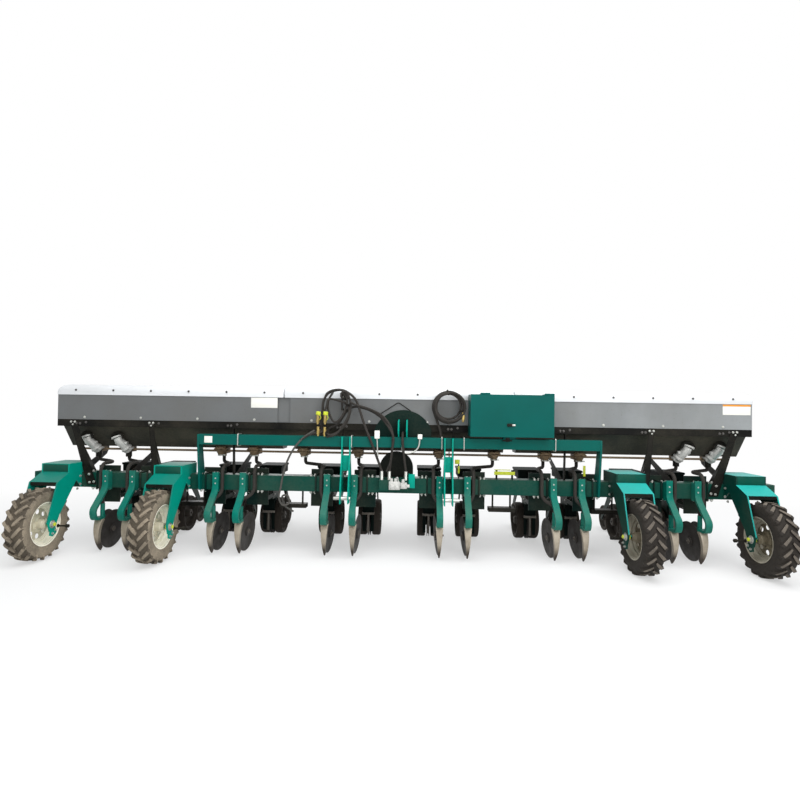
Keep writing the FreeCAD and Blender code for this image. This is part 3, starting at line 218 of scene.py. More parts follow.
# colour, dust and the dust's colour
rubberSpec = {
    "dustyTyre": (rgb(84, 77, 68), 0.95, rgb(164, 151, 132)),
    "darkTyre": (rgb(26, 24, 22), 0.35, rgb(66, 60, 54)),
    # painted shade between the lugs, and a painted highlight on the lugs' tops
    "tyreGap": (rgb(22, 20, 18), 0.3, rgb(60, 54, 48)),
    "dustyGap": (rgb(54, 49, 43), 0.9, rgb(108, 99, 86)),
    "paleLug": (rgb(70, 66, 62), 0.7, rgb(140, 130, 118)),
    "rowTyre": (rgb(30, 27, 25), 0.4, rgb(74, 64, 55)),
    "hose": (rgb(30, 30, 30), 0.15, rgb(90, 86, 80)),
    "greyHose": (rgb(86, 86, 84), 0.2, rgb(120, 116, 108)),
}


def rubberFinish(name, colour, dust, dustColour):
    material, finish = newMaterial(name)
    broad = finish.noise(6, 5, 0.65)
    fine = finish.noise(120, 4, 0.6)
    dusty = finish.step(broad * 0.7 + fine * 0.5, 0.35, 0.8) * dust
    coloured = finish.mix(dusty, finish.mix(fine, colour, rgb(62, 58, 54)), dustColour)
    finish.close(coloured, 0.72 + dusty * 0.2, 0.0, fine + broad, 0.25, 0.002, 0.2)
    return material


# colour, roughness, soil, the soil's colour and metallic
metalSpec = {
    "discSteel": (rgb(44, 40, 38), 0.5, 0.7, rgb(36, 30, 26), 0.3),
    "zinc": (rgb(215, 216, 210), 0.3, 0.2, rgb(120, 118, 108), 0.9),
    "rowRim": (rgb(58, 54, 50), 0.5, 0.6, rgb(74, 64, 52), 0.3),
    "castSilver": (rgb(226, 226, 222), 0.45, 0.3, rgb(150, 146, 138), 0.25),
    "castGrey": (rgb(104, 98, 90), 0.5, 0.5, rgb(70, 62, 54), 0.3),
    "boltGrey": (rgb(96, 94, 92), 0.4, 0.3, rgb(60, 56, 52), 0.9),
    "brass": (rgb(196, 170, 96), 0.32, 0.4, rgb(120, 100, 66), 0.9),
}


def metalFinish(name, colour, roughness, soil, soilColour, metallic):
    material, finish = newMaterial(name)
    broad = finish.noise(9, 6, 0.65)
    fine = finish.noise(90, 5, 0.6, (1, 1, 3))
    soiled = finish.step(broad + fine * 0.3, 0.5, 0.85) * soil
    coloured = finish.mix(soiled, finish.mix(fine * 0.5, colour, rgb(90, 88, 84)), soilColour)
    finish.close(coloured, roughness + soiled * 0.45, metallic * (1 - soiled), fine + broad, 0.12, 0.001)
    return material


knifeSpec = {"low": rgb(50, 42, 35), "high": rgb(160, 150, 134), "soil": rgb(84, 70, 56),
             "worn": (0.12, 0.20)}


def knifeFinish(spec):  # worn by the soil low down, dusty above
    material, finish = newMaterial("knifeSteel")
    broad = finish.noise(9, 6, 0.65)
    fine = finish.noise(90, 5, 0.6, (1, 1, 3))
    height = finish.step(finish.axis(2) + broad * 0.08, *spec["worn"])
    worn = finish.mix(height, spec["low"], spec["high"])
    coloured = finish.mix(finish.step(broad + fine * 0.3, 0.6, 0.9) * 0.5, worn, spec["soil"])
    finish.close(coloured, 0.42 + broad * 0.2, 0.35, fine + broad, 0.15, 0.001)
    return material


# colour, roughness, grime and shine
plasticSpec = {
    "lidWhite": (rgb(217, 219, 221), 0.35, 0.1), "rimCream": (rgb(255, 250, 232), 0.4, 0.1),
    "rimBeige": (rgb(204, 197, 176), 0.45, 0.4), "rimGrey": (rgb(168, 162, 146), 0.45, 0.5),
    "rimBrown": (rgb(112, 104, 86), 0.5, 0.6), "meterTan": (rgb(132, 112, 88), 0.55, 0.6),
    "blackPlastic": (rgb(10, 22, 20), 0.6, 0.03, 0.06), "limePlastic": (rgb(196, 206, 60), 0.4, 0.3),
    "labelWhite": (rgb(238, 236, 228), 0.45, 0.1), "labelOrange": (rgb(228, 150, 60), 0.45, 0.1),
}


def plasticFinish(name, colour, roughness, grime, shine=0.25):
    material, finish = newMaterial(name)
    broad = finish.noise(3, 5, 0.6)
    fine = finish.noise(260, 2, 0.5)
    grimy = finish.step(broad, 0.45, 0.8) * grime
    coloured = finish.mix(grimy, colour, rgb(120, 112, 98))
    finish.close(coloured, roughness + grimy * 0.3, 0.0, fine, 0.06, 0.0006, shine)
    return material


materials = {"knifeSteel": knifeFinish(knifeSpec)}
for makeFinish, finishSpec in ((paintFinish, paintSpec), (rubberFinish, rubberSpec),
                               (metalFinish, metalSpec), (plasticFinish, plasticSpec)):
    materials |= {name: makeFinish(name, *values) for name, values in finishSpec.items()}
print("finishes made")


def shaped(bm, name, material, body, nodes=(), angle=35):  # turns a bmesh into a piece
    bmesh.ops.recalc_face_normals(bm, faces=bm.faces)
    mesh = bpy.data.meshes.new(name)
    bm.to_mesh(mesh)
    bm.free()
    mesh.materials.append(materials[material])
    mesh.shade_smooth()
    mesh.set_sharp_from_angle(angle=math.radians(angle))
    piece = bpy.data.objects.new(name, mesh)
    bpy.context.collection.objects.link(piece)
    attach(piece, body)
    if nodes:
        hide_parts(*nodes)
    return piece


def painted(piece, material, belongs):  # gives a second finish to the faces that belong to it
    piece.data.materials.append(materials[material])
    index = len(piece.data.materials) - 1
    for face in piece.data.polygons:
        if belongs(face.center, face.normal):
            face.material_index = index


def moved(bm, place):
    bmesh.ops.translate(bm, verts=bm.verts, vec=place)


def polar(radius, angle):
    return radius * math.cos(angle), radius * math.sin(angle)


def facing(axis):  # turns +Z to an axis
    return Vector((0, 0, 1)).rotation_difference(Vector(axis)).to_matrix().to_4x4()


def cornerRing(bm, spots):  # a closed line of edges through a few points
    verts = [bm.verts.new(spot) for spot in spots]
    return [bm.edges.new(pair) for pair in zip(verts, verts[1:] + verts[:1])]


def roundRing(bm, place, radius, sides):
    made = bmesh.ops.create_circle(bm, cap_ends=False, segments=sides, radius=radius,
                                   matrix=place @ Matrix.Rotation(-math.pi / 2, 4, "Z"))
    return list({edge for vert in made["verts"] for edge in vert.link_edges})


def walled(bm, rings):  # walls from ring to ring
    for pair in zip(rings, rings[1:]):
        bmesh.ops.bridge_loops(bm, edges=pair[0] + pair[1])


def capped(bm, rings):  # walls, and a lid on the first and the last ring
    walled(bm, rings)
    bmesh.ops.holes_fill(bm, edges=rings[0] + rings[-1])


def skinned(bm, rings):  # four-sided faces between rings of vertices
    return [bm.faces.new(corners) for below, above in zip(rings, rings[1:])
            for corners in zip(below, below[1:] + below[:1], above[1:] + above[:1], above)]


def turned(bm, outline, steps):  # spins a closed outline of (across, radius) about X
    edges = cornerRing(bm, [(across, 0, radius) for across, radius in outline])
    verts = [edge.verts[0] for edge in edges]
    bmesh.ops.spin(bm, geom=verts + edges, cent=(0, 0, 0), axis=(1, 0, 0), dvec=(0, 0, 0),
                   angle=2 * math.pi, steps=steps, use_merge=True)


def drum(bm, start, axis, radius, length, sides=20, chamfer=0.001, narrow=None):
    narrower = radius - chamfer
    stages = [(narrower, 0), (radius, chamfer), (radius, length - chamfer), (narrower, length)]
    if narrow:
        stages = [(radius, 0), (narrow, length)]
    place = Matrix.Translation(start) @ facing(axis)
    capped(bm, [roundRing(bm, place @ Matrix.Translation((0, 0, up)), wide, sides) for wide, up in stages])


def bolt(bm, place, axis, across=0.009, tall=0.007):  # a washer, a hexagon head and the thread's end
    seat = 0.002
    along = Vector(axis)
    drum(bm, place, axis, across * 1.25, seat, 20, 0.0005)
    drum(bm, Vector(place) + along * seat, axis, across, tall, 6, 0.001)
    drum(bm, Vector(place) + along * (seat + tall), axis, across * 0.5, 0.003, 12, 0.0008)


def studs(bm, count, circle, across, side, size, phase=0.0):  # a ring of bolts about X
    for stud in range(count):
        spot = polar(circle, 2 * math.pi * (stud + phase) / count)
        bolt(bm, (across, *spot), (side, 0, 0), size, size)


def slab(bm, low, high, edge=0.002):
    low, high = Vector(low), Vector(high)
    made = bmesh.ops.create_cube(bm, size=1, matrix=Matrix.Translation((low + high) / 2)
                                 @ Matrix.Diagonal((*(high - low), 1)))
    edges = list({each for vert in made["verts"] for each in vert.link_edges})
    bmesh.ops.bevel(bm, geom=edges, offset=min(edge, min(high - low) * 0.4), segments=2, profile=0.5,
                    affect="EDGES", material=-1)


def prism(bm, outline, along):  # a flat outline pushed along a line
    face = bm.faces.new([bm.verts.new(spot) for spot in outline])
    pushed = bmesh.ops.extrude_face_region(bm, geom=[face])
    far = [item for item in pushed["geom"] if isinstance(item, bmesh.types.BMVert)]
    bmesh.ops.translate(bm, verts=far, vec=along)


def bar(bm, route, radius, sides=8):  # a round bar along a line of points
    points = [Vector(point) for point in route]
    across = (points[1] - points[0]).orthogonal().normalized()
    rings = []
    for before, point, after in zip(points[:1] + points, points, points[1:] + points[-1:]):
        along = (after - before).normalized()
        across = (across - along * across.dot(along)).normalized()
        turn = Matrix((across, along.cross(across), along)).transposed().to_4x4()
        rings.append(roundRing(bm, Matrix.Translation(point) @ turn, radius, sides))
    capped(bm, rings)


def strap(bm, start, end, widths, thick):  # a flat bar between two points, its widths along X
    capped(bm, [cornerRing(bm, [Vector(point) + Vector((across * width / 2, back, 0))
                                for across, back in ((-1, 0), (1, 0), (1, thick), (-1, thick))])
                for point, width in zip((start, end), widths)])


def smooth(points, steps=6):  # a rounder line through the same points
    spots = [Vector(point) for point in points]
    ends = [spots[0] * 2 - spots[1]] + spots + [spots[-1] * 2 - spots[-2]]
    line = []
    for before, start, end, after in zip(ends, ends[1:], ends[2:], ends[3:]):
        steady = (end - before) / 2
        bend = before - start * 2.5 + end * 2 - after / 2
        turn = (start * 3 - before - end * 3 + after) / 2
        line += [start + steady * share + bend * share ** 2 + turn * share ** 3
                 for share in (step / steps for step in range(steps))]
    return line + [spots[-1]]


def arcOf(middle, radius, start, end, steps):  # points on an upright arc, angles in degrees
    turns = [math.radians(start + (end - start) * step / steps) for step in range(steps + 1)]
    return [Vector(middle) + Vector((radius * math.cos(turn), 0, radius * math.sin(turn))) for turn in turns]


frameBody = "planter_frame"
asDrawn = [(0, 0, 0)]


def trimPiece(name, material, slotName, *groups, body=frameBody):  # each group: shapes, and where they stand
    bm = bmesh.new()
    for shapes, places in groups:
        pattern = bmesh.new()
        for build, *values in shapes:
            build(pattern, *values)
        mesh = bpy.data.meshes.new(name + "Pattern")
        pattern.to_mesh(mesh)
        pattern.free()
        for place in places:
            count = len(bm.verts)
            bm.from_mesh(mesh)
            bm.verts.ensure_lookup_table()
            bmesh.ops.translate(bm, verts=bm.verts[count:], vec=place)
        bpy.data.meshes.remove(mesh)
    shaped(bm, name, material, body)


weld = 0.00001  # points nearer than this are one


def islands(node):  # the boxes of a node's separate solids, from left to right
    bm = bmesh.new()
    bm.from_mesh(frame["nodes"][node].data)
    bmesh.ops.remove_doubles(bm, verts=bm.verts, dist=weld)
    left = set(bm.verts)
    boxes = []
    while left:
        group = [left.pop()]
        for vert in group:
            found = {edge.other_vert(vert) for edge in vert.link_edges} & left
            left -= found
            group += found
        boxes.append(tuple(Vector([pick(vert.co[axis] for vert in group) for axis in range(3)])
                           for pick in (min, max)))
    bm.free()
    return sorted(boxes, key=lambda pair: pair[0].x + pair[1].x)


def middles(node):  # of its separate solids
    return [(low + high) / 2 for low, high in islands(node)]


dressing = {"flat": 0.5, "sharp": 35, "broad": 0.003}
# finish and the width of the rounded edges
dressSpec = {
    "toolbar": ("darkGreen", 0.008), "upper_beam": ("beamGreen", 0.004),
    "lower_hitch_plates": ("teal", 0.002), "mast": ("archGreen", 0.002), "wheel_forks": ("teal", 0.003),
    "hopper_left": ("grey", 0.003), "hopper_middle": ("grey", 0.003), "hopper_right": ("grey", 0.003),
    "hopper_channels": ("black", 0.002), "hopper_struts": ("black", 0.002), "beam_legs": ("beamGreen", 0.002),
    "fertilizer_meters": ("meterTan", 0.004), "opener_shanks": ("armTeal", 0.003),
    "opener_knives": ("knifeSteel", 0.002), "row_heads": ("headGreen", 0.002),
    "row_links": ("headGreen", 0.002), "row_frames": ("headGreen", 0.002),
    "seed_boxes": ("blackPlastic", 0.006), "hydraulic_lines": ("hose", 0.003),
    "toolbox": ("boxGreen", 0.0012), "toolbox_door": ("boxGreen", 0.003), "foot_steps": ("black", 0.003),
}


def dressNode(node, material, edge):  # the node's own form with rounded edges
    bm = bmesh.new()
    bm.from_mesh(frame["nodes"][node].data)
    bmesh.ops.remove_doubles(bm, verts=bm.verts, dist=weld)
    bmesh.ops.dissolve_limit(bm, angle_limit=math.radians(dressing["flat"]), verts=bm.verts, edges=bm.edges)
    sharp = math.radians(dressing["sharp"])
    crisp = [each for each in bm.edges if len(each.link_faces) == 2 and each.calc_face_angle() > sharp]
    bmesh.ops.bevel(bm, geom=crisp, offset=edge, offset_type="OFFSET", segments=2, profile=0.5,
                    affect="EDGES", clamp_overlap=True, material=-1)
    first, *others = node.split("_")
    name = first + "".join(word.capitalize() for word in others) + "Dressed"
    piece = shaped(bm, name, material, frame["nodes"][node]["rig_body"], [node])
    for face in piece.data.polygons:
        if face.area > dressing["broad"]:
            face.use_smooth = False
    return piece


dressed = {node: dressNode(node, *values) for node, values in dressSpec.items()}
print("frame dressed")


def mirrored(outline):  # the same outline on the other side, in the other order
    return [(-across, up) for across, up in outline[::-1]]


def wheelSize(node):  # its middle, half its width and its radius
    low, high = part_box(node)
    return (low + high) / 2, (high.x - low.x) / 2, (high.z - low.z) / 2


groundSpec = {
    "lugs": 20, "sweep": 0.30, "foot": 0.030, "spread": 1.25, "edge": 0.0016, "steps": 80, "crown": 0.0195,
    # where the painted shade in the gaps between lugs begins and ends, its share of the width, and how deep
    # the painted highlight on the lug faces goes
    "gapTop": 0.040, "gapFoot": 0.002, "gapWide": 0.96, "pale": 0.006,
    # share of half the width, and how far below the crown
    "tread": [(0, 0), (0.5, 0.001), (0.76, 0.005), (0.9, 0.014), (0.97, 0.028), (1, 0.048), (0.995, 0.066),
              (0.97, 0.076), (0.985, 0.079), (0.975, 0.084), (0.94, 0.089)],
    # share of half the width, and how far above the rim's lip
    "bead": [(0.9, 0.006), (0.84, 0.001), (0.82, -0.003), (0.82, -0.015)],
    # a lug's stations: share of half the width, share of the sweep, drop and half the lug's width
    "stations": [(0.03, 0.0, 0.0, 0.010), (0.26, 0.22, 0.0, 0.0115), (0.52, 0.48, 0.001, 0.013),
                 (0.74, 0.70, 0.003, 0.014), (0.90, 0.87, 0.011, 0.0155), (0.985, 0.97, 0.026, 0.0165),
                 (0.999, 1.0, 0.040, 0.0165)]}


def makeLug(bm, start, side, rising, wide, reach):
    spec = groundSpec
    stations = spec["stations"]
    rings = []
    for before, (across, along, drop, half), after in zip(stations[:1] + stations, stations,
                                                          stations[1:] + stations[-1:]):
        run = Vector(((after[0] - before[0]) * wide, (after[1] - before[1]) * spec["sweep"] * reach))
        if run.x < 0.004:  # down the shoulder a lug keeps its slant
            run = Vector((0.6, 0.8))
        aside = Vector((-run.y, run.x)).normalized() * half
        spots = []
        for spread, level in ((-spec["spread"], spec["foot"] + drop), (-1, drop), (1, drop),
                              (spec["spread"], spec["foot"] + drop)):
            x = min(max(across * wide + aside.x * spread, 0.001), wide * 0.999)
            angle = start + rising * (along * spec["sweep"] + aside.y * spread / reach)
            down, up = polar(reach - level, angle)
            spots.append((side * x, -down, up))
        rings.append([bm.verts.new(spot) for spot in spots])
    crest = set(skinned(bm, rings)[1::4])
    bm.faces.new(rings[0])
    bm.faces.new(rings[-1][::-1])
    rim = {edge for face in crest for edge in face.edges
           if sum(each in crest for each in edge.link_faces) == 1}
    bmesh.ops.bevel(bm, geom=list(rim), offset=spec["edge"], segments=1, profile=0.5, affect="EDGES",
                    material=-1)


def makeGroundTyre(number, rising, material):
    node, spec = "ground_wheel_tyre_%d" % number, groundSpec
    hub, wide, reach = wheelSize(node)
    lip = wheelSize("ground_wheel_rim_%d" % number)[2]
    crown = reach - spec["crown"]
    half = [(wide * share, crown - drop) for share, drop in spec["tread"]]
    half += [(wide * share, lip + rise) for share, rise in spec["bead"]]
    bm = bmesh.new()
    turned(bm, mirrored(half[1:]) + half, spec["steps"])
    pitch = 2 * math.pi / spec["lugs"]
    for side, phase in ((-1, 0), (1, 0.5)):
        for lug in range(spec["lugs"]):
            makeLug(bm, (lug + phase) * pitch, side, rising, wide, reach)
    moved(bm, hub)
    tyre = shaped(bm, "groundTyre%d" % number, material, "ground_wheel_%d" % number, [node], 30)

    def fromHub(centre):
        return math.hypot(centre.y - hub.y, centre.z - hub.z)

    # painted shade in the gaps between the lugs
    painted(tyre, "tyreGap" if material == "darkTyre" else "dustyGap", lambda centre, normal:
            reach - spec["gapTop"] < fromHub(centre) < crown + spec["gapFoot"]
            and abs(centre.x - hub.x) < wide * spec["gapWide"])
    # a painted highlight on the lug tops of the dark tyres
    if material == "darkTyre":
        painted(tyre, "paleLug", lambda centre, normal: fromHub(centre) > reach - spec["pale"])


rimSpec = {
    "sheet": 0.004, "disc": 0.005, "lip": 0.008, "well": 0.033, "holes": 8, "hole": 0.024, "circle": 0.112,
    "studs": 6, "stud": 0.064, "size": 0.008, "steps": 72, "painted": 0.138,
    # how far in from the lip, and down from the rim's edge
    "skin": [(0, 0.005), (0, 0.001), (0.002, 0), (0.005, 0.002), (0.006, 0.013), (0.010, 0.0155),
             (0.036, 0.017), (0.046, 0.026), (0.056, 0.033)],
    "curl": [(0.0035, 0.006), (0.008, 0.017)],
    # the disc, from the well in to the hub: radius and place across, the first three radii from the well's
    "rings": [(0, 0.012), (-0.016, 0.010), (-0.024, -0.003)],
    "centre": [(0.082, -0.005), (0.072, 0.003), (0.044, 0.004)]}


def makeGroundRim(number, outer, inner):
    node, body = "ground_wheel_rim_%d" % number, "ground_wheel_%d" % number
    middle, hub, reach = wheelSize(node)
    half, sheet, well = hub - rimSpec["lip"], rimSpec["sheet"], rimSpec["well"]
    skin = [(half - aside, reach - down) for aside, down in rimSpec["skin"]] + [(0, reach - well)]
    inside = [(half - aside, reach - down) for aside, down in rimSpec["curl"]]
    inside += [(across - sheet * 0.7, up - sheet) for across, up in skin[5:-2]]
    inside += [(across, up - sheet) for across, up in skin[-2:]]
    bm = bmesh.new()
    turned(bm, mirrored(skin)[::-1] + skin[-2::-1] + inside + mirrored(inside[:-1]), rimSpec["steps"])
    moved(bm, middle)
    shaped(bm, "groundRim%d" % number, outer, body, [node], 30)

    bm = bmesh.new()
    across = facing((1, 0, 0))

    def ring(radius, x, count=rimSpec["steps"], spot=(0, 0)):
        return roundRing(bm, Matrix.Translation((x, *spot)) @ across, radius, count)

    barrel = reach - well - sheet / 2
    rings = [ring(barrel + down, x) for down, x in rimSpec["rings"]]
    centre = [ring(radius, x) for radius, x in rimSpec["centre"]]
    walled(bm, rings)
    walled(bm, centre)
    cut = rings[-1] + centre[0]
    for hole in range(rimSpec["holes"]):
        spot = polar(rimSpec["circle"], 2 * math.pi * hole / rimSpec["holes"])
        cut += ring(rimSpec["hole"], -0.004, 20, spot)
    bmesh.ops.triangle_fill(bm, use_beauty=True, use_dissolve=False, edges=cut)
    pushed = bmesh.ops.extrude_face_region(bm, geom=list(bm.faces))
    bmesh.ops.translate(bm, verts=[item for item in pushed["geom"] if isinstance(item, bmesh.types.BMVert)],
                        vec=(-rimSpec["disc"], 0, 0))
    turned(bm, [(hub, 0.0175), (hub, 0.030), (hub - 0.004, 0.034), (hub - 0.022, 0.036), (hub - 0.030, 0.043),
                (0.016, 0.044), (0.012, 0.076), (0.004, 0.076), (-0.004, 0.046), (-hub + 0.02, 0.040),
                (-hub, 0.036), (-hub, 0.0175)], 40)
    for face, side in ((0.012, 1), (-0.006, -1)):
        studs(bm, rimSpec["studs"], rimSpec["stud"], face, side, rimSpec["size"], 0.5)
    if middle.x > 0:
        bmesh.ops.scale(bm, vec=(-1, 1, 1), verts=bm.verts)
    moved(bm, middle)
    disc = shaped(bm, "groundDisc%d" % number, inner, body, (), 30)
    painted(disc, outer, lambda centre, normal:
            math.hypot(centre.y - middle.y, centre.z - middle.z) > rimSpec["painted"])


# which way the lugs lean, and the finishes of tyre, rim and disc
wheelFinishes = [(1, "dustyTyre", "rimCream", "rimBeige")] * 2 + [(-1, "darkTyre", "rimGrey", "rimBrown")] * 2
for number, (rising, tyre, outer, inner) in enumerate(wheelFinishes, start=1):
    makeGroundTyre(number, rising, tyre)
    makeGroundRim(number, outer, inner)
print("ground wheels made")


rowWheelSpec = {"steps": 56, "studs": 5, "circle": 0.06, "seat": 0.014, "size": 0.006}
gaugeSpec = {
    "wide": 0.09,
    # across from the wheel's inner face, and down from the tread
    "tyre": [(0, 0.030), (0, 0.010), (0.006, 0.003), (0.022, 0), (0.045, 0.001), (0.068, 0), (0.082, 0.004),
             (0.090, 0.012), (0.089, 0.024), (0.084, 0.032), (0.076, 0.036), (0.010, 0.036)],
    "dish": [(0.078, 0.0355), (0.078, 0.040), (0.020, 0.044), (0.012, 0.060)],
    "back": [(0.008, 0.058), (0.010, 0.0355)],
    # across from the wheel's inner face, and the radius
    "hub": [(0.010, 0.075), (0.018, 0.062), (0.020, 0.046), (0.076, 0.044), (0.086, 0.040), (0.090, 0.034),
            (0.090, 0.0155), (0, 0.0155), (0, 0.040), (0.014, 0.048), (0.012, 0.058), (0.006, 0.074)]}
pressSpec = {
    # in from the side, and down from the tread
    "tyre": [(0, 0.010), (0.004, 0.002), (0.012, 0), (0.022, 0.004)],
    "seat": [(0.012, 0.029), (0.003, 0.026)],
    # across from the middle, and down from the tread
    "crown": [(0.014, 0.016), (0, 0.018)], "dish": [(0.012, 0.038), (0.008, 0.052)]}


def makeWheelPart(name, node, body, outline, material, sides=(1,), seat=None):
    bm = bmesh.new()
    for side in sides:
        turned(bm, [(side * across, up) for across, up in outline], rowWheelSpec["steps"])
        if seat:
            studs(bm, rowWheelSpec["studs"], rowWheelSpec["circle"], side * seat, side, rowWheelSpec["size"])
    moved(bm, wheelSize(node)[0])
    shaped(bm, name, material, body, [node] if material == "rowTyre" else (), 30)


def makeGaugeWheels(number):
    node, body = "gauge_wheels_%02d" % number, "gauge_pair_%02d" % number
    outer, reach = wheelSize(node)[1:]
    inner = outer - gaugeSpec["wide"]
    tyre, dish, back = ([(inner + across, reach - down) for across, down in gaugeSpec[key]]
                        for key in ("tyre", "dish", "back"))
    steel = dish + [(inner + across, up) for across, up in gaugeSpec["hub"]] + back
    makeWheelPart("gaugeTyres%02d" % number, node, body, tyre, "rowTyre", (-1, 1))
    seat = inner + rowWheelSpec["seat"]
    makeWheelPart("gaugeRims%02d" % number, node, body, steel, "rowRim", (-1, 1), seat)


def makePressWheel(number):
    node, body = "press_wheel_%02d" % number, "press_%02d" % number
    half, reach = wheelSize(node)[1:]
    tyre, seat = ([(half - aside, reach - down) for aside, down in pressSpec[key]]
                  for key in ("tyre", "seat"))
    crown, dish = ([(across, reach - down) for across, down in pressSpec[key]]
                   for key in ("crown", "dish"))
    rubber = tyre + crown + mirrored(tyre + crown[:-1]) + mirrored(seat) + seat
    steel = [(half - 0.010, reach - 0.0285), (half - 0.010, reach - 0.034)] + dish
    steel += [(0.008, 0.046), (half - 0.012, 0.032), (half, 0.028), (half, 0.0105)]
    makeWheelPart("pressTyre%02d" % number, node, body, rubber, "rowTyre")
    makeWheelPart("pressRim%02d" % number, node, body, steel + mirrored(steel), "rowRim")


for number in range(1, 13):
    makeGaugeWheels(number)
    makePressWheel(number)
print("row wheels made")


barLow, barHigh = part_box("toolbar")
beamLow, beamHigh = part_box("upper_beam")
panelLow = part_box("hopper_middle")[0]
channelLow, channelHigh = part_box("hopper_channels")
pinPlace = next(mount["pos_m"] for mount in frame["record"]["mounts"] if mount["name"] == "lower_link_left")
paintSplit = {"up": 0.3, "side": 0.5, "hoodTop": 0.702, "hood": (-0.74, -0.70), "pin": 0.0195,
              "clevis": 0.519}


def isTop(normal):  # a face of a hood's band that looks up
    return normal.z > paintSplit["up"] and abs(normal.x) < paintSplit["side"]


def isPin(centre, normal):  # the lower link pins, outside their clevis plates
    return (centre.z < 0.600 and 0.02 < abs(abs(centre.x) - paintSplit["clevis"])
            and abs(normal.x) < paintSplit["side"]
            and math.hypot(centre.y - pinPlace[1], centre.z - pinPlace[2]) < paintSplit["pin"])


# the faces under the front of a hood, which get painted shade
def isHoodUnder(centre, normal):
    return (centre.z < paintSplit["hoodTop"] and abs(normal.x) < paintSplit["side"]
            and paintSplit["hood"][0] < centre.y < paintSplit["hood"][1] and abs(normal.z) < 0.9)


# finishes that differ on one welded part, the later over the earlier, among them painted shade and a painted
# highlight
splitFinishes = [
    # painted shade on each hopper's lower part, below its channel
    *(("hopper_" + section, "troughDark", lambda centre, normal: centre.z < channelHigh.z - 0.004)
      for section in ("left", "middle", "right")),
    ("mast", "teal", lambda centre, normal: centre.y < panelLow.y - 0.02),
    ("fertilizer_meters", "shaftDark", lambda centre, normal: centre.y > 0.02),
    ("hydraulic_lines", "zinc", lambda centre, normal: barHigh.z - 0.012 < centre.z < barHigh.z + 0.072),
    ("hydraulic_lines", "darkGreen", lambda centre, normal: centre.z < barHigh.z - 0.008),
    ("lower_hitch_plates", "zinc", isPin),
    # right forks: painted shade on faces that don't look up, a painted highlight on those that do; left
    # forks: painted shade on faces that look up; under every hood: painted shade
    ("wheel_forks", "forkGreen", lambda centre, normal: centre.x > 0 and not isTop(normal)),
    ("wheel_forks", "turquoise", lambda centre, normal: centre.x > 0 and isTop(normal)),
    ("wheel_forks", "tealShade", lambda centre, normal: centre.x < 0 and isTop(normal)),
    ("wheel_forks", "hoodDark", isHoodUnder)]
for node, material, belongs in splitFinishes:
    painted(dressed[node], material, belongs)


forkSpec = {
    "half": 0.137, "scraper": 0.131, "band": ((-0.123, -0.1965, -0.079), (0.123, -0.194, -0.007)),
    "clamps": [(-0.030, -0.035), (-0.030, -0.115), (-0.075, -0.155)], "screws": 0.029,
    "arm": [(-0.028, -0.028), (0.045, -0.040), (0.060, -0.085), (0.010, -0.115), (-0.030, -0.100)],
    "armBolts": [(0.040, -0.062), (0.000, -0.085)], "knob": (0.072, -0.030)}


def makeForkTrim(number, low, high):
    half = forkSpec["half"]
    x = (low.x + high.x) / 2
    hub = wheelSize("ground_wheel_tyre_%d" % number)[0]
    atHub = [(x, hub.y, hub.z)]
    # a thin dark sheet over the front of each hood: painted shade
    trimPiece("hoodShadeSheet%d" % number, "bandGreen", "teal_paint",
              ([(slab, *forkSpec["band"], 0.0007)], [(x, barLow.y, high.z)]))
    clamps, axleEnds, caps = [], [], []
    for side in (-1, 1):
        out = (side, 0, 0)
        clamps += [(bolt, (side * half, *spot), out, 0.0105, 0.009) for spot in forkSpec["clamps"]]
        axleEnds += [(drum, (side * half, 0, 0), out, 0.036, 0.005, 28, 0.0015),
                     (drum, (side * (half + 0.005), 0, 0), out, 0.024, 0.014, 6, 0.002)]
        axleEnds += [(drum, (side * (half + 0.004), *polar(forkSpec["screws"], math.radians(angle))), out,
                      0.004, 0.004, 6, 0.0006) for angle in (40, 160, 280)]
        caps += [(drum, (side * (half + 0.019), 0, 0), out, 0.017, 0.012, 24, 0.004),
                 (drum, (side * (half - 0.034), 0, 0), out, 0.028, 0.020, 24, 0.002)]
    trimPiece("forkBolts%d" % number, "zinc", "teal_paint", (clamps, [(x, barLow.y, barHigh.z)]),
              (axleEnds, atHub))
    trimPiece("hubCaps%d" % number, "limePlastic", "teal_paint", (caps, atHub))
    # the scraper: an arm under the axle, a blade behind the tyre and its clamp bolt
    side = 1 if x < 0 else -1
    out, arm = (side, 0, 0), side * forkSpec["scraper"]
    blade = sorted((arm, arm - side * 0.024))
    # the right forks' scraper arms take the forks' painted shade
    trimPiece("scraperArm%d" % number, "teal" if x < 0 else "forkGreen", "teal_paint", ([
        (prism, [(arm, *spot) for spot in forkSpec["arm"]], (side * 0.009, 0, 0)),
        (slab, (blade[0], 0.020, -0.112), (blade[1], 0.028, -0.060), 0.001)], atHub))
    trimPiece("scraperBolts%d" % number, "zinc", "teal_paint", ([
        (bolt, (arm + side * 0.009, *spot), out, 0.009, 0.011) for spot in forkSpec["armBolts"]], atHub))
    knob = forkSpec["knob"]
    trimPiece("scraperKnob%d" % number, "black", "teal_paint", ([
        (drum, (arm + side * 0.004, *knob), out, 0.008, 0.085, 16, 0.001),
        (drum, (arm + side * 0.086, *knob), out, 0.017, 0.030, 20, 0.004),
        (bolt, (arm + side * 0.010, *knob), out, 0.014, 0.010)], atHub))


for number, (low, high) in enumerate(islands("wheel_forks"), start=1):
    makeForkTrim(number, low, high)
print("forks finished")


hopperSpec = {"bolts": 12, "pitch": 0.576, "low": 0.024, "lidUp": 0.048,
              "strutBolts": (-0.055, -0.022, 0.038), "cover": (1.030, 1.330), "coverTop": 1.052,
              "coverFoot": (0.030, 0.038), "coverHead": (0.242, 0.234)}


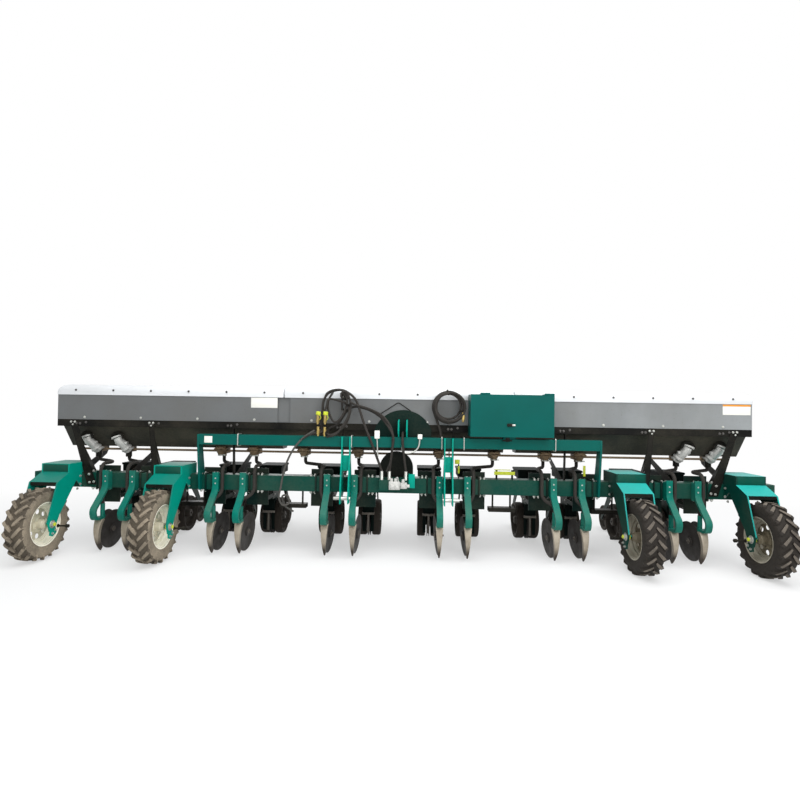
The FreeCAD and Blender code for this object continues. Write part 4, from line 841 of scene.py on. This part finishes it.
def hopperBolts():
    shapes = [(bolt, (0, face, 0), (0, side, 0), 0.010, 0.007)
              for face, side in ((panelLow.y, -1), (channelHigh.y, 1))]
    first = -(hopperSpec["bolts"] - 1) / 2 * hopperSpec["pitch"]
    return shapes, [(first + index * hopperSpec["pitch"], 0, channelHigh.z + hopperSpec["low"])
                    for index in range(hopperSpec["bolts"])]


def channelBolts(face, side):  # on the struts of one side that reach the channels
    struts = [(low + high) / 2 for low, high in islands("hopper_struts") if high.z >= channelLow.z - 0.004]
    shapes = [(bolt, (shift, 0, 0.006 if shift > 0 else -0.006), (0, side, 0), 0.010, 0.008)
              for shift in hopperSpec["strutBolts"]]
    z = (channelLow.z + channelHigh.z) / 2
    return shapes, [(strut.x, face, z) for strut in struts if strut.y * side >= 0]


def jointCover(side):  # closes the trough between two hopper sections
    start, end = sorted(side * edge for edge in hopperSpec["cover"])
    foot, head, top = hopperSpec["coverFoot"], hopperSpec["coverHead"], hopperSpec["coverTop"]
    spots = [(across, channelHigh.z - 0.004) for across in foot] + [(across, top) for across in head]
    return [(prism, [(start, channelLow.y + across, z) for across, z in spots], (end - start, 0, 0))], asDrawn


# the joint covers take the trough's painted shade
trimPiece("jointCovers", "troughDark", "grey_paint", jointCover(-1), jointCover(1))
trimPiece("panelBolts", "zinc", "grey_paint", hopperBolts())
trimPiece("channelBolts", "boltGrey", "black_paint", channelBolts(channelLow.y, -1),
          channelBolts(channelHigh.y, 1))


lidSpec = {"wall": 0.003, "ahead": 0.062, "fall": 0.072, "end": 0.105, "joint": 0.006, "steps": 6,
           "corner": 0.010, "hinge": 0.008, "barrel": 0.045, "seat": 0.0003, "inset": 0.160, "bolts": 6}


def makeLid(section):
    node, name, spec = "hopper_lid_" + section, section.capitalize(), lidSpec
    low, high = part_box(node)
    body = frame["nodes"][node]["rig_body"]
    fall, tall = spec["fall"], high.z - low.z
    left, right = (spec["end"] if section == side else spec["joint"] for side in ("left", "right"))
    turns = [math.radians(90 * step / spec["steps"]) for step in range(spec["steps"] + 1)]
    levels = [(0, 0)] + [(tall - fall + fall * math.sin(turn), 1 - math.cos(turn)) for turn in turns]
    bm = bmesh.new()
    skirts = []
    for wall in (0, spec["wall"]):
        rings = []
        for rise, bow in levels:
            aside = spec["ahead"] * bow + wall
            start, end = low.x + left * bow + wall, high.x - right * bow - wall
            front, rear, z = low.y + aside, high.y - aside, low.z + rise - (wall if rise else 0)
            corners = (start, front), (end, front), (end, rear), (start, rear)
            rings.append([bm.verts.new((*corner, z)) for corner in corners])
        skinned(bm, rings)
        bm.faces.new(rings[-1])
        skirts.append(rings[0])
    skinned(bm, skirts)
    crisp = [edge for edge in bm.edges if abs(edge.verts[0].co.z - edge.verts[1].co.z) > 0.001]
    bmesh.ops.bevel(bm, geom=crisp, offset=spec["corner"], segments=2, profile=0.5, affect="EDGES",
                    clamp_overlap=True, material=-1)
    shaped(bm, "lid" + name, "lidWhite", body, [node], 30)
    joints = frame["record"]["behaviour"]["joints"]
    place = next(joint["pos_m"] for joint in joints if joint["name"] == "lid_%s_hinge" % section)
    hopperLow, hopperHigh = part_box("hopper_" + section)
    start, barrel = spec["barrel"] + spec["seat"], spec["barrel"]
    hinge = [(drum, (start, 0, 0), (1, 0, 0), spec["hinge"], barrel, 20, 0.001),
             (slab, (start, -0.004, 0), (start + barrel, 0.004, 0.024), 0.001)]
    hinge += [(bolt, (start + barrel * across, 0.004, 0.015), (0, 1, 0), 0.0045, 0.0025)
              for across in (0.25, 0.75)]
    spots = [hopperLow.x + spec["inset"], place[0], hopperHigh.x - spec["inset"]]
    places = [(x, *place[1:]) for x in spots]
    trimPiece("lidHinges" + name, "zinc", "white_plastic", (hinge, places), body=body)
    spots = [low.x + (high.x - low.x) * (index + 0.5) / spec["bolts"] for index in range(spec["bolts"])]
    trimPiece("lidBolts" + name, "boltGrey", "white_plastic", (
        [(bolt, (0, 0, 0), (0, -1, 0), 0.0085, 0.006)],
        [(x, low.y, low.z + hopperSpec["lidUp"]) for x in spots]), body=body)


for section in ("left", "middle", "right"):
    makeLid(section)


# blank plates: left, right, foot, head and the face that they lie on
plateSpec = {"labelLeft": (-1.475, -1.209, 1.431, 1.532, panelLow.y),
             "labelRight": (3.165, 3.431, 1.430, 1.531, panelLow.y),
             "beamPlate": (-1.893, -1.814, beamLow.z + 0.018, beamHigh.z - 0.018, beamLow.y)}
for name, (left, right, foot, head, y) in plateSpec.items():
    trimPiece(name, "labelWhite", "grey_paint",
              ([(slab, (left, -0.0012, foot), (right, 0.0004, head), 0.0004)], [(0, y, 0)]))
    if name == "labelRight":
        trimPiece(name + "Edge", "labelOrange", "grey_paint",
                  ([(slab, (left, -0.0018, head - 0.018), (right, 0, head), 0.0003)], [(0, y, 0)]))
print("hopper finished")


beamSpec = {"straps": (-1.56, -0.446, 0.431, 0.644, 1.52), "off": 0.0065, "wire": 0.006}


def beamStraps():
    off, front, rear = beamSpec["off"], beamLow.y, beamHigh.y - 0.01
    near = front - 0.002
    over, under = ([(0, rear, z + up * off), (0, near, z + up * off), (0, front - off, z + up * 0.001)]
                   for z, up in ((beamHigh.z, 1), (beamLow.z, -1)))
    return [(bar, over + under[::-1], beamSpec["wire"])], [(x, 0, 0) for x in beamSpec["straps"]]


trimPiece("beamStraps", "zinc", "green_paint", beamStraps())


openerSpec = {"bolts": (0.058, 0.108), "size": 0.0165, "out": 0.0455}


def openerBolts():
    shapes = []
    for drop in openerSpec["bolts"]:
        shapes += [(bolt, (0, 0, -drop), (0, -1, 0), openerSpec["size"], 0.012),
                   (drum, (0, -0.012, -drop), (0, -1, 0), 0.008, 0.012, 16, 0.001)]
    return shapes, [((low.x + high.x) / 2, barLow.y - openerSpec["out"], high.z)
                    for low, high in islands("opener_shanks") if high.z >= barHigh.z]


trimPiece("openerBolts", "zinc", "teal_paint", openerBolts())


postSpec = {"outer": (3.280, 3.052, 0.062, 0.090), "inner": (2.480, 2.402, 0.048, 0.060), "foot": 0.640,
            "gap": 0.018, "seat": 0.007, "thick": 0.005, "edge": (0.005, 0.030),
            "headBolts": [(-0.020, 1.262), (0.018, 1.262), (0.0, 1.235)],
            "footBolts": [(0.022, 0.662), (-0.020, 0.668), (0.030, 0.742)]}


def postFlange(side, top, bottom, wide, broad):  # a flat bar and the edge that stands back from it
    head = Vector((side * top, channelLow.y - postSpec["seat"], channelHigh.z - 0.006))
    foot = Vector((side * bottom, barLow.y - postSpec["gap"], postSpec["foot"]))
    edge, deep = postSpec["edge"]
    aside = Vector((side * 0.5, 0, 0))
    return [(strap, head, foot, (wide, broad), postSpec["thick"]),
            (strap, head + aside * wide, foot + aside * broad, (edge, edge), deep)], asDrawn


def postBolts(side):
    heads = [(bolt, (across, 0, z), (0, -1, 0), 0.009, 0.008) for across, z in postSpec["headBolts"]]
    feet = [(bolt, (side * across, 0, z), (0, -1, 0), 0.010, 0.009) for across, z in postSpec["footBolts"]]
    tops = [(side * postSpec[post][0], channelLow.y - postSpec["seat"], 0) for post in ("outer", "inner")]
    return (heads, tops), (feet, [(side * postSpec["outer"][1], barLow.y - postSpec["gap"], 0)])


trimPiece("postFlanges", "black", "black_paint", *(postFlange(side, *postSpec[post])
                                                   for side in (-1, 1) for post in ("outer", "inner")))
trimPiece("postBolts", "zinc", "black_paint", *postBolts(-1), *postBolts(1))


meterSpec = {
    "outer": 2.4, "cone": 0.056, "throat": 0.028, "clamp": 0.033, "elbow": 0.044,
    "bend": [(-0.020, -0.205, 1.100), (-0.002, -0.195, 1.060), (0.030, -0.160, 1.010),
             (0.045, -0.120, 0.965)]}
meterMiddles = [(low + high) / 2 for low, high in islands("fertilizer_meters") if high.x - low.x < 1]
innerMeters = [(middle.x, 0, 0) for middle in meterMiddles if abs(middle.x) < meterSpec["outer"]]


def outerMeters(inward):
    return [(middle.x, 0, 0) for middle in meterMiddles if middle.x * inward < -meterSpec["outer"]]


def meterElbows(inward):  # cast elbows that lean towards the middle
    route = smooth([(inward * across, y, z) for across, y, z in meterSpec["bend"]], 4)
    shapes = [(bar, route, meterSpec["elbow"], 18),
              (drum, route[0], (inward * -0.4, 0, 1), 0.060, 0.018, 24, 0.003),
              (drum, route[9], (inward * 0.55, 0.35, -0.75), 0.055, 0.030, 24, 0.009),
              (drum, route[-1] + Vector((0, 0, 0.020)), (inward * 0.3, 0, -1), 0.054, 0.020, 24, 0.003),
              (drum, (inward * 0.010 - 0.062, -0.185, 1.045), (1, 0, 0), 0.018, 0.124, 16, 0.003)]
    shapes += [(bolt, (inward * 0.045 + spread, -0.150, 0.968), (0, -1, 0), 0.008, 0.008)
               for spread in (-0.040, 0.040)]
    return shapes, outerMeters(inward)


def meterCaps(inward):
    return [(bar, arcOf((inward * -0.012, -0.225, 1.090), 0.062, 0, 180, 12), 0.014, 8),
            (drum, (inward * 0.050, -0.112, 0.968), (0, 0, -1), 0.030, 0.070, 18, 0.002)], outerMeters(inward)


trimPiece("meterElbows", "castSilver", "tan_plastic", meterElbows(1), meterElbows(-1))
trimPiece("meterCaps", "black", "tan_plastic", meterCaps(1), meterCaps(-1))
trimPiece("meterHoods", "meterTan", "tan_plastic", ([
    (drum, (0, -0.118, 1.022), (0, 0.1, -1), 0.050, 0.028, 20, 0.005),
    (drum, (0, -0.116, 0.996), (0, 0.2, -1), meterSpec["cone"], 0.060, 20, 0, meterSpec["throat"]),
    (slab, (-0.062, -0.150, 0.990), (0.062, -0.085, 1.002), 0.002),
    (bolt, (-0.052, -0.125, 1.002), (0, 0, 1), 0.007, 0.006),
    (bolt, (0.052, -0.125, 1.002), (0, 0, 1), 0.007, 0.006)], innerMeters))
trimPiece("meterClamps", "zinc", "tan_plastic", ([
    (drum, (0, -0.104, 0.940), (0, 0.1, -1), meterSpec["clamp"], 0.013, 20, 0.001),
    (slab, (0.028, -0.128, 0.926), (0.050, -0.118, 0.940), 0.001)], innerMeters))
print("posts and meters finished")


lineSpec = {
    "radius": 0.0105, "low": 0.0095,
    "tiedRoutes": [
        [(-0.756, -0.455, 1.272), (-0.738, -0.448, 1.373), (-0.735, -0.440, 1.473), (-0.699, -0.430, 1.580),
         (-0.625, -0.420, 1.618), (-0.549, -0.418, 1.612), (-0.480, -0.428, 1.545), (-0.462, -0.445, 1.427),
         (-0.500, -0.462, 1.293), (-0.579, -0.480, 1.208), (-0.654, -0.484, 1.178), (-0.716, -0.470, 1.205)],
        [(-0.771, -0.478, 1.300), (-0.700, -0.470, 1.440), (-0.672, -0.462, 1.524), (-0.572, -0.440, 1.509),
         (-0.492, -0.440, 1.477), (-0.479, -0.460, 1.376), (-0.537, -0.482, 1.259), (-0.603, -0.486, 1.182),
         (-0.687, -0.470, 1.160)],
        [(-0.559, -0.405, 1.622), (-0.520, -0.415, 1.577), (-0.500, -0.440, 1.476), (-0.555, -0.460, 1.342),
         (-0.621, -0.462, 1.307), (-0.676, -0.455, 1.407), (-0.682, -0.440, 1.507), (-0.640, -0.420, 1.600)],
        [(-0.704, -0.470, 1.215), (-0.760, -0.482, 1.205), (-0.850, -0.486, 1.180), (-0.939, -0.482, 1.125)],
        [(-0.470, -0.455, 1.500), (-0.400, -0.452, 1.470), (-0.290, -0.450, 1.440), (-0.150, -0.455, 1.370),
         (-0.060, -0.470, 1.250), (-0.045, -0.490, 1.120), (-0.060, -0.480, 0.950), (-0.100, -0.455, 0.830)]],
    "lowRoute": [
        (-0.805, -0.478, 1.221), (-0.925, -0.484, 1.135), (-1.030, -0.474, 0.999), (-1.100, -0.458, 0.829),
        (-1.135, -0.440, 0.660), (-1.155, -0.425, 0.556), (-1.120, -0.415, 0.480), (-1.060, -0.405, 0.500),
        (-1.075, -0.400, 0.570), (-1.130, -0.395, 0.560), (-1.105, -0.385, 0.470), (-1.021, -0.370, 0.410)],
    # the coil's middle, and its extra turns: radius, place across, ahead and up, and tilt
    "coilMiddle": (0.5, 0.165), "coilSteps": 32,
    "coil": [(0.122, -0.012, 0.040, 0.010, 0.012), (0.138, 0.010, 0.012, 0.004, -0.010),
             (0.147, -0.006, 0.060, -0.004, 0.006)],
    # the ties: place, radius and axis
    "ties": [((-0.530, -0.425, 1.548), 0.040, (1, 0, 0.4)), ((-0.498, -0.448, 1.470), 0.028, (0.3, 0, 1)),
             ((-0.700, -0.478, 1.196), 0.030, (1, 0, 0)), ((0.475, -0.460, 1.604), 0.028, (1, 0, 0.3)),
             ((0.395, -0.452, 1.355), 0.026, (1, 0, 1)), ((0.620, -0.460, 1.420), 0.026, (-0.3, 0, 1))]}


def coilTurns():
    low, high = islands("hydraulic_lines")[-1]
    x, drop = lineSpec["coilMiddle"]
    steps = lineSpec["coilSteps"]
    turns = [polar(1, 2 * math.pi * step / steps) for step in range(steps + 1)]
    shapes = []
    for radius, across, ahead, up, tilt in lineSpec["coil"]:
        middle = Vector((x + across, low.y + ahead, high.z - drop + up))
        ring = [middle + Vector((radius * one, tilt * one, radius * two)) for one, two in turns]
        shapes.append((bar, ring, lineSpec["radius"]))
    return shapes


tiedLines = [(bar, smooth(route), lineSpec["radius"]) for route in lineSpec["tiedRoutes"]]
trimPiece("tiedLines", "hose", "black_hose", (tiedLines + coilTurns(), asDrawn))
lowLine = [(bar, smooth(lineSpec["lowRoute"]), lineSpec["low"])]
trimPiece("lowLine", "greyHose", "black_hose", (lowLine, asDrawn))
trimPiece("lineTies", "black", "black_hose", ([
    (drum, place, axis, radius, 0.016, 16, 0.002) for place, radius, axis in lineSpec["ties"]], asDrawn))


couplerSpec = {"places": ((-0.775, 1.352), (-0.704, 1.352), (-0.770, 1.238), (-0.706, 1.236), (0.628, 1.395)),
               "front": -0.490, "radius": 0.017, "axis": (0.1, 0, 1)}
couplerPlaces = [(x, couplerSpec["front"], z) for x, z in couplerSpec["places"]]
# each part of a coupler: how far up, share of the radius, length, sides and chamfer
couplerParts = [(-0.055, 1, 0.050, 6, 0.002), (-0.008, 0.8, 0.028, 20, 0.002),
                (-0.072, 0.6, 0.020, 16, 0.001)]
trimPiece("couplers", "brass", "black_hose", ([
    (drum, (0, 0, up), couplerSpec["axis"], couplerSpec["radius"] * share, length, sides, chamfer)
    for up, share, length, sides, chamfer in couplerParts], couplerPlaces))
trimPiece("couplerCaps", "limePlastic", "black_hose", ([
    (drum, (0.004, 0, 0.018), couplerSpec["axis"], 0.024, 0.034, 20, 0.005),
    (bar, arcOf((0.004, -0.004, -0.006), 0.026, -70, 90, 8), 0.003, 6)], couplerPlaces[:2]))


handleSpec = {"long": [(0.048, 0, 1.150), (0.048, 0, 1.060), (0.058, 0, 1.022), (0.108, 0, 1.016),
                       (0.168, 0, 1.034), (0.206, 0, 1.080), (0.217, 0, 1.158)], "longWire": 0.0075,
              "short": [(-0.200, 0, 1.180), (-0.194, 0, 1.100), (-0.188, 0, 0.995), (-0.176, 0, 0.985)],
              "shortWire": 0.006}
trimPiece("handles", "zinc", "green_paint", ([  # bent rods that hang at the upper beam
    (bar, smooth(handleSpec[rod]), handleSpec[rod + "Wire"]) for rod in ("long", "short")],
    [(0, beamLow.y - 0.014, 0)]))
trimPiece("handleCaps", "labelWhite", "green_paint", ([
    (slab, (-0.222, 0, 1.150), (-0.172, 0.030, 1.228), 0.006),
    (slab, (0.196, 0, 1.152), (0.240, 0.030, 1.198), 0.006)], [(0, beamLow.y - 0.030, 0)]))


valveSpec = {"low": (-0.075, -0.512, 0.664), "high": (0.098, -0.470, 0.742),
             "tops": [(-0.050, 0.735), (-0.010, 0.735), (0.062, 0.728)],
             "faces": [(-0.045, 0.700, 0.020), (0.005, 0.690, 0.016), (0.066, 0.702, 0.024)],
             "lever": [(-0.010, -0.505, 0.770), (0.010, -0.512, 0.782), (0.020, -0.512, 0.700),
                       (0.030, -0.515, 0.668)]}


def valveShapes():
    (left, front, foot), (right, rear, head) = valveSpec["low"], valveSpec["high"]
    shapes = [(slab, (left, front, foot), (0.030, rear, head), 0.004),
              (slab, (0.034, front + 0.006, foot + 0.010), (right, rear, head - 0.010), 0.004)]
    shapes += [(drum, (x, front + 0.018, z), (0, 0, 1), 0.015, 0.036, 18, 0.002)
               for x, z in valveSpec["tops"]]
    for x, z, radius in valveSpec["faces"]:
        shapes += [(drum, (x, front + 0.002, z), (0, -1, 0), radius, 0.030, 20, 0.003),
                   (drum, (x, front - 0.026, z), (0, -1, 0), radius * 0.6, 0.012, 6, 0.002)]
    return shapes + [(drum, (right - 0.004, -0.490, 0.700), (1, 0, 0), 0.016, 0.030, 18, 0.002),
                     (bar, smooth(valveSpec["lever"]), 0.004)]


coverSpec = {"middle": (-0.013, 0.846), "radius": 0.168, "front": -0.300, "deep": 0.070}
coverX, coverZ = coverSpec["middle"]
coverFoot = [(coverX + side * coverSpec["radius"], 0, barHigh.z + 0.002) for side in (1, -1)]
coverArch = arcOf((coverX, 0, coverZ), coverSpec["radius"], 0, 180, 24)
coverSides = coverFoot[:1] + coverArch + coverFoot[1:]
archStrap = [(-0.205, 0, 1.372), (-0.128, 0, 1.420), (-0.010, 0, 1.498), (0.010, 0, 1.498), (0.120, 0, 1.424),
             (0.240, 0, 1.322), (0.336, 0, 1.240)]
# each plate: left, foot, right, head, rear and edge; each stand: middle, half its width, front and head
limeSpec = {"front": -0.300, "plates": [
    (0.961, 0.800, 1.166, 0.834, -0.294, 0.002), (0.962, 0.846, 1.120, 0.854, -0.294, 0.002),
    (0.570, 0.900, 0.618, 0.944, -0.292, 0.003), (0.600, 0.806, 0.618, 0.880, -0.292, 0.003),
    (1.835, 0.800, 1.860, 0.905, -0.292, 0.003)], "stands": [
    (0.985, 0.010, -0.292, 0.850), (1.140, 0.010, -0.292, 0.850), (0.609, 0.006, -0.291, 0.905),
    (1.848, 0.006, -0.291, 0.905)]}
trimPiece("valve", "castSilver", "green_paint", (valveShapes(), asDrawn))
trimPiece("motorBracket", "teal", "green_paint", ([
    (slab, (0.112, -0.462, 0.676), (0.174, -0.456, 0.812), 0.002),
    (slab, (0.112, -0.462, 0.676), (0.118, -0.372, 0.812), 0.002),
    (slab, (0.100, -0.440, 0.762), (0.174, -0.330, 0.768), 0.002)], asDrawn))
trimPiece("driveCover", "hoodDark", "green_paint", ([
    (prism, coverSides, (0, coverSpec["deep"], 0))], [(0, coverSpec["front"], 0)]))
trimPiece("archStrap", "black", "green_paint", ([(bar, archStrap, 0.0042, 6)], [(0, panelLow.y - 0.005, 0)]))
trimPiece("limePlates", "limePlastic", "green_paint", ([
    (slab, (left, limeSpec["front"], foot), (right, rear, head), edge)
    for left, foot, right, head, rear, edge in limeSpec["plates"]], asDrawn))
trimPiece("limeStands", "black", "green_paint", ([
    (slab, (x - half, front, barHigh.z - 0.001), (x + half, -0.286, head), 0.001)
    for x, half, front, head in limeSpec["stands"]], asDrawn))
print("hydraulics finished")


barNutSpec = {"spots": (-0.085, -0.045, 0.045, 0.085), "in": 0.012}


def barNuts(z, up):  # of each row head's U-bolts, with the bolts' ends
    shapes = []
    for across in barNutSpec["spots"]:
        shapes += [(drum, (across, 0, -up * 0.002), (0, 0, up), 0.0085, 0.026, 12, 0.001),
                   (drum, (across, 0, 0), (0, 0, up), 0.015, 0.014, 6, 0.0015)]
    return shapes, [(middle.x, barLow.y + barNutSpec["in"], z) for middle in middles("row_heads")]


discHubs = []
for side in (-1, 1):
    discHubs += [(drum, (side * 0.006, 0, 0), (side, 0, 0), 0.026, 0.012, 20, 0.003),
                 (bolt, (side * 0.018, 0, 0), (side, 0, 0), 0.010, 0.008)]
trimPiece("barNuts", "zinc", "green_paint", barNuts(barHigh.z, 1), barNuts(barLow.z, -1))
trimPiece("discHubs", "castGrey", "bare_steel", (discHubs, middles("opener_discs")))
print("toolbar finished")


doorLow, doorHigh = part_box("toolbox_door")
doorBody = frame["nodes"]["toolbox_door"]["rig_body"]
doorMiddle = (doorLow.x + doorHigh.x) / 2
doorPlace = [(doorMiddle - 0.020, doorLow.y, doorLow.z)]
trimPiece("doorTrim", "black", "green_paint", ([
    (slab, (-0.030, -0.013, 0.100), (0.030, -0.001, 0.128), 0.005),
    (drum, (-0.004, -0.011, 0.114), (0, -1, 0), 0.014, 0.010, 20, 0.002)], doorPlace), body=doorBody)
trimPiece("doorKnob", "zinc", "green_paint", ([
    (slab, (0.014, -0.026, 0.106), (0.046, -0.012, 0.122), 0.004)], doorPlace), body=doorBody)
trimPiece("boxClip", "black", "black_paint", ([
    (slab, (-0.045, 0.020, 1.150), (0.045, 0.050, 1.163), 0.003),
    (slab, (-0.020, 0.014, 1.146), (0.020, 0.020, 1.186), 0.002)], [(doorMiddle - 0.040, doorLow.y, 0)]))
print("toolbox finished")


rowSpec = {"casting": 0.205, "guard": 0.229, "coil": 0.019, "wire": 0.0042, "turns": 13, "spots": 10,
           "spring": ((-0.110, 0.662), (0.150, 0.505)), "springs": (-0.045, 0.045), "linkBolt": 0.022}
boxes = islands("seed_boxes")
rowPlaces = [(middle.x, 0, 0) for middle in middles("seed_boxes")]


def rowSpring(across):  # a coil from the row's head back to its frame
    start, end = (Vector((across, *spot)) for spot in rowSpec["spring"])
    turn = facing(end - start)
    count = rowSpec["turns"] * rowSpec["spots"]
    route = []
    for spot in range(count + 1):
        one, two = polar(rowSpec["coil"], 2 * math.pi * spot / rowSpec["spots"])
        route.append(start + (end - start) * (spot / count) + turn @ Vector((one, two, 0)))
    return bar, route, rowSpec["wire"], 5


def linkBolts():  # on the outer face of each pair of links
    groups = []
    for low, high in islands("row_links"):
        middle = (low + high) / 2
        nearest = min((place[0] for place in rowPlaces), key=lambda x: abs(x - low.x))
        face, side = (low.x, -1) if middle.x < nearest else (high.x, 1)
        ends = (low.y + rowSpec["linkBolt"], high.y - rowSpec["linkBolt"])
        groups.append(([(bolt, (face, y, middle.z), (side, 0, 0), 0.009, 0.008) for y in ends], asDrawn))
    return groups


front, guard = rowSpec["casting"], rowSpec["guard"]
trimPiece("rowCastings", "castGrey", "green_paint", ([  # the T casting ahead of each seed disc
    (slab, (-0.068, front, 0.276), (0.068, front + 0.026, 0.302), 0.004),
    (slab, (-0.011, front, 0.085), (0.011, front + 0.028, 0.280), 0.005)], rowPlaces))
trimPiece("rowGuards", "blackPlastic", "green_paint", ([
    (slab, (-0.062, guard, 0.090), (-0.030, guard + 0.006, 0.430), 0.002),
    (slab, (0.030, guard, 0.090), (0.062, guard + 0.006, 0.430), 0.002),
    (slab, (-0.062, guard - 0.010, 0.300), (0.062, guard - 0.004, 0.430), 0.002)], rowPlaces))
springs = [rowSpring(across) for across in rowSpec["springs"]]
trimPiece("rowSprings", "boltGrey", "bare_steel", (springs, rowPlaces))
trimPiece("boxLatches", "black", "black_paint", ([
    (slab, (-0.022, -0.007, -0.062), (0.022, 0.001, -0.018), 0.002),
    (slab, (-0.012, -0.014, -0.072), (0.012, -0.006, -0.044), 0.002)],
    [((low.x + high.x) / 2, low.y, high.z) for low, high in boxes]), ([
        (drum, (across - 0.020, -0.002, -0.014), (1, 0, 0), 0.007, 0.040, 12, 0.001)
        for across in (-0.08, 0.08)], [((low.x + high.x) / 2, high.y, high.z) for low, high in boxes]))
trimPiece("linkBolts", "zinc", "bare_steel", *linkBolts())
print("rows finished")


plainFinishes = {"fertilizer_hoses": "hose", "opener_discs": "discSteel", "seed_discs": "discSteel"}
for node, material in plainFinishes.items():  # nodes that show as the CAD has them
    frame["nodes"][node].data.materials.clear()
    frame["nodes"][node].data.materials.append(materials[material])
print("plain nodes finished")


stageSpec = {"size": 60, "under": 0.001, "pale": (0.86, 0.86, 0.86, 1), "spread": (0.55, 0.8, 1),
             "fade": (2.2, 4.2), "sky": (0.95, 0.98, 1, 1), "strength": 0.5}
white = (1, 1, 1, 1)


def plainRay(finish):  # 1 where the camera, a mirror or glass looks at it
    seen = finish.add("LightPath") + finish.add("LightPath", output=3) + finish.add("LightPath", output=6)
    return finish.add("Math", {"operation": "MINIMUM"}, {0: seen, 1: 1})


def makeStage(spec):
    bm = bmesh.new()
    place = Matrix.Translation((0, 0, cadBox[0].z - spec["under"]))
    bmesh.ops.create_grid(bm, x_segments=1, y_segments=1, size=spec["size"], matrix=place)
    material, floor = newMaterial("floor")
    laid = floor.add("Mapping", None, {"Vector": floor.add("TexCoord", output=3), "Scale": spec["spread"]})
    far = floor.add("VectorMath", {"operation": "LENGTH"}, {0: laid}, 1)
    share = plainRay(floor) * (floor.step(far, *spec["fade"]) * 0.5 + 0.5)
    pale = floor.add("BsdfDiffuse", None, {"Color": spec["pale"]})
    bright = floor.add("Emission", None, {"Color": white, "Strength": 1.0})
    held = floor.add("MixShader", None, {0: share, 1: pale, 2: bright})
    floor.add("OutputMaterial", None, {"Surface": held})
    mesh = bpy.data.meshes.new("floor")
    bm.to_mesh(mesh)
    bm.free()
    mesh.materials.append(material)
    ground = bpy.data.objects.new("floor", mesh)
    bpy.context.collection.objects.link(ground)


def makeWorld(spec):
    world = bpy.data.worlds.new("studio")
    bpy.context.scene.world = world
    world.use_nodes = True
    sky = Finish(world.node_tree)
    soft = sky.add("Background", None, {"Color": spec["sky"], "Strength": spec["strength"]})
    plain = sky.add("Background", None, {"Color": white, "Strength": 1.0})
    shown = sky.add("MixShader", None, {0: plainRay(sky), 1: soft, 2: plain})
    sky.add("OutputWorld", None, {"Surface": shown})


# place, what it points at, power and size
lampSpec = {"overhead": ((1, -2, 6), (0, 0, 0.8), 420, (10, 5)),
            "front": ((3, -8, 4), (0, 0, 0.8), 300, (6, 4)), "back": ((-2, 8, 4), (0, 0, 0.6), 220, (8, 4))}


def makeLamp(name, place, target, power, wide):
    lamp = bpy.data.objects.new(name, bpy.data.lights.new(name, "AREA"))
    bpy.context.collection.objects.link(lamp)
    lamp.data.shape = "RECTANGLE"
    lamp.data.size, lamp.data.size_y = wide
    lamp.data.energy = power
    lamp.location = place
    lamp.rotation_mode = "QUATERNION"
    lamp.rotation_quaternion = (Vector(target) - Vector(place)).to_track_quat("-Z", "Y")


makeStage(stageSpec)
makeWorld(stageSpec)
for name, values in lampSpec.items():
    makeLamp(name, *values)
print("stage set")
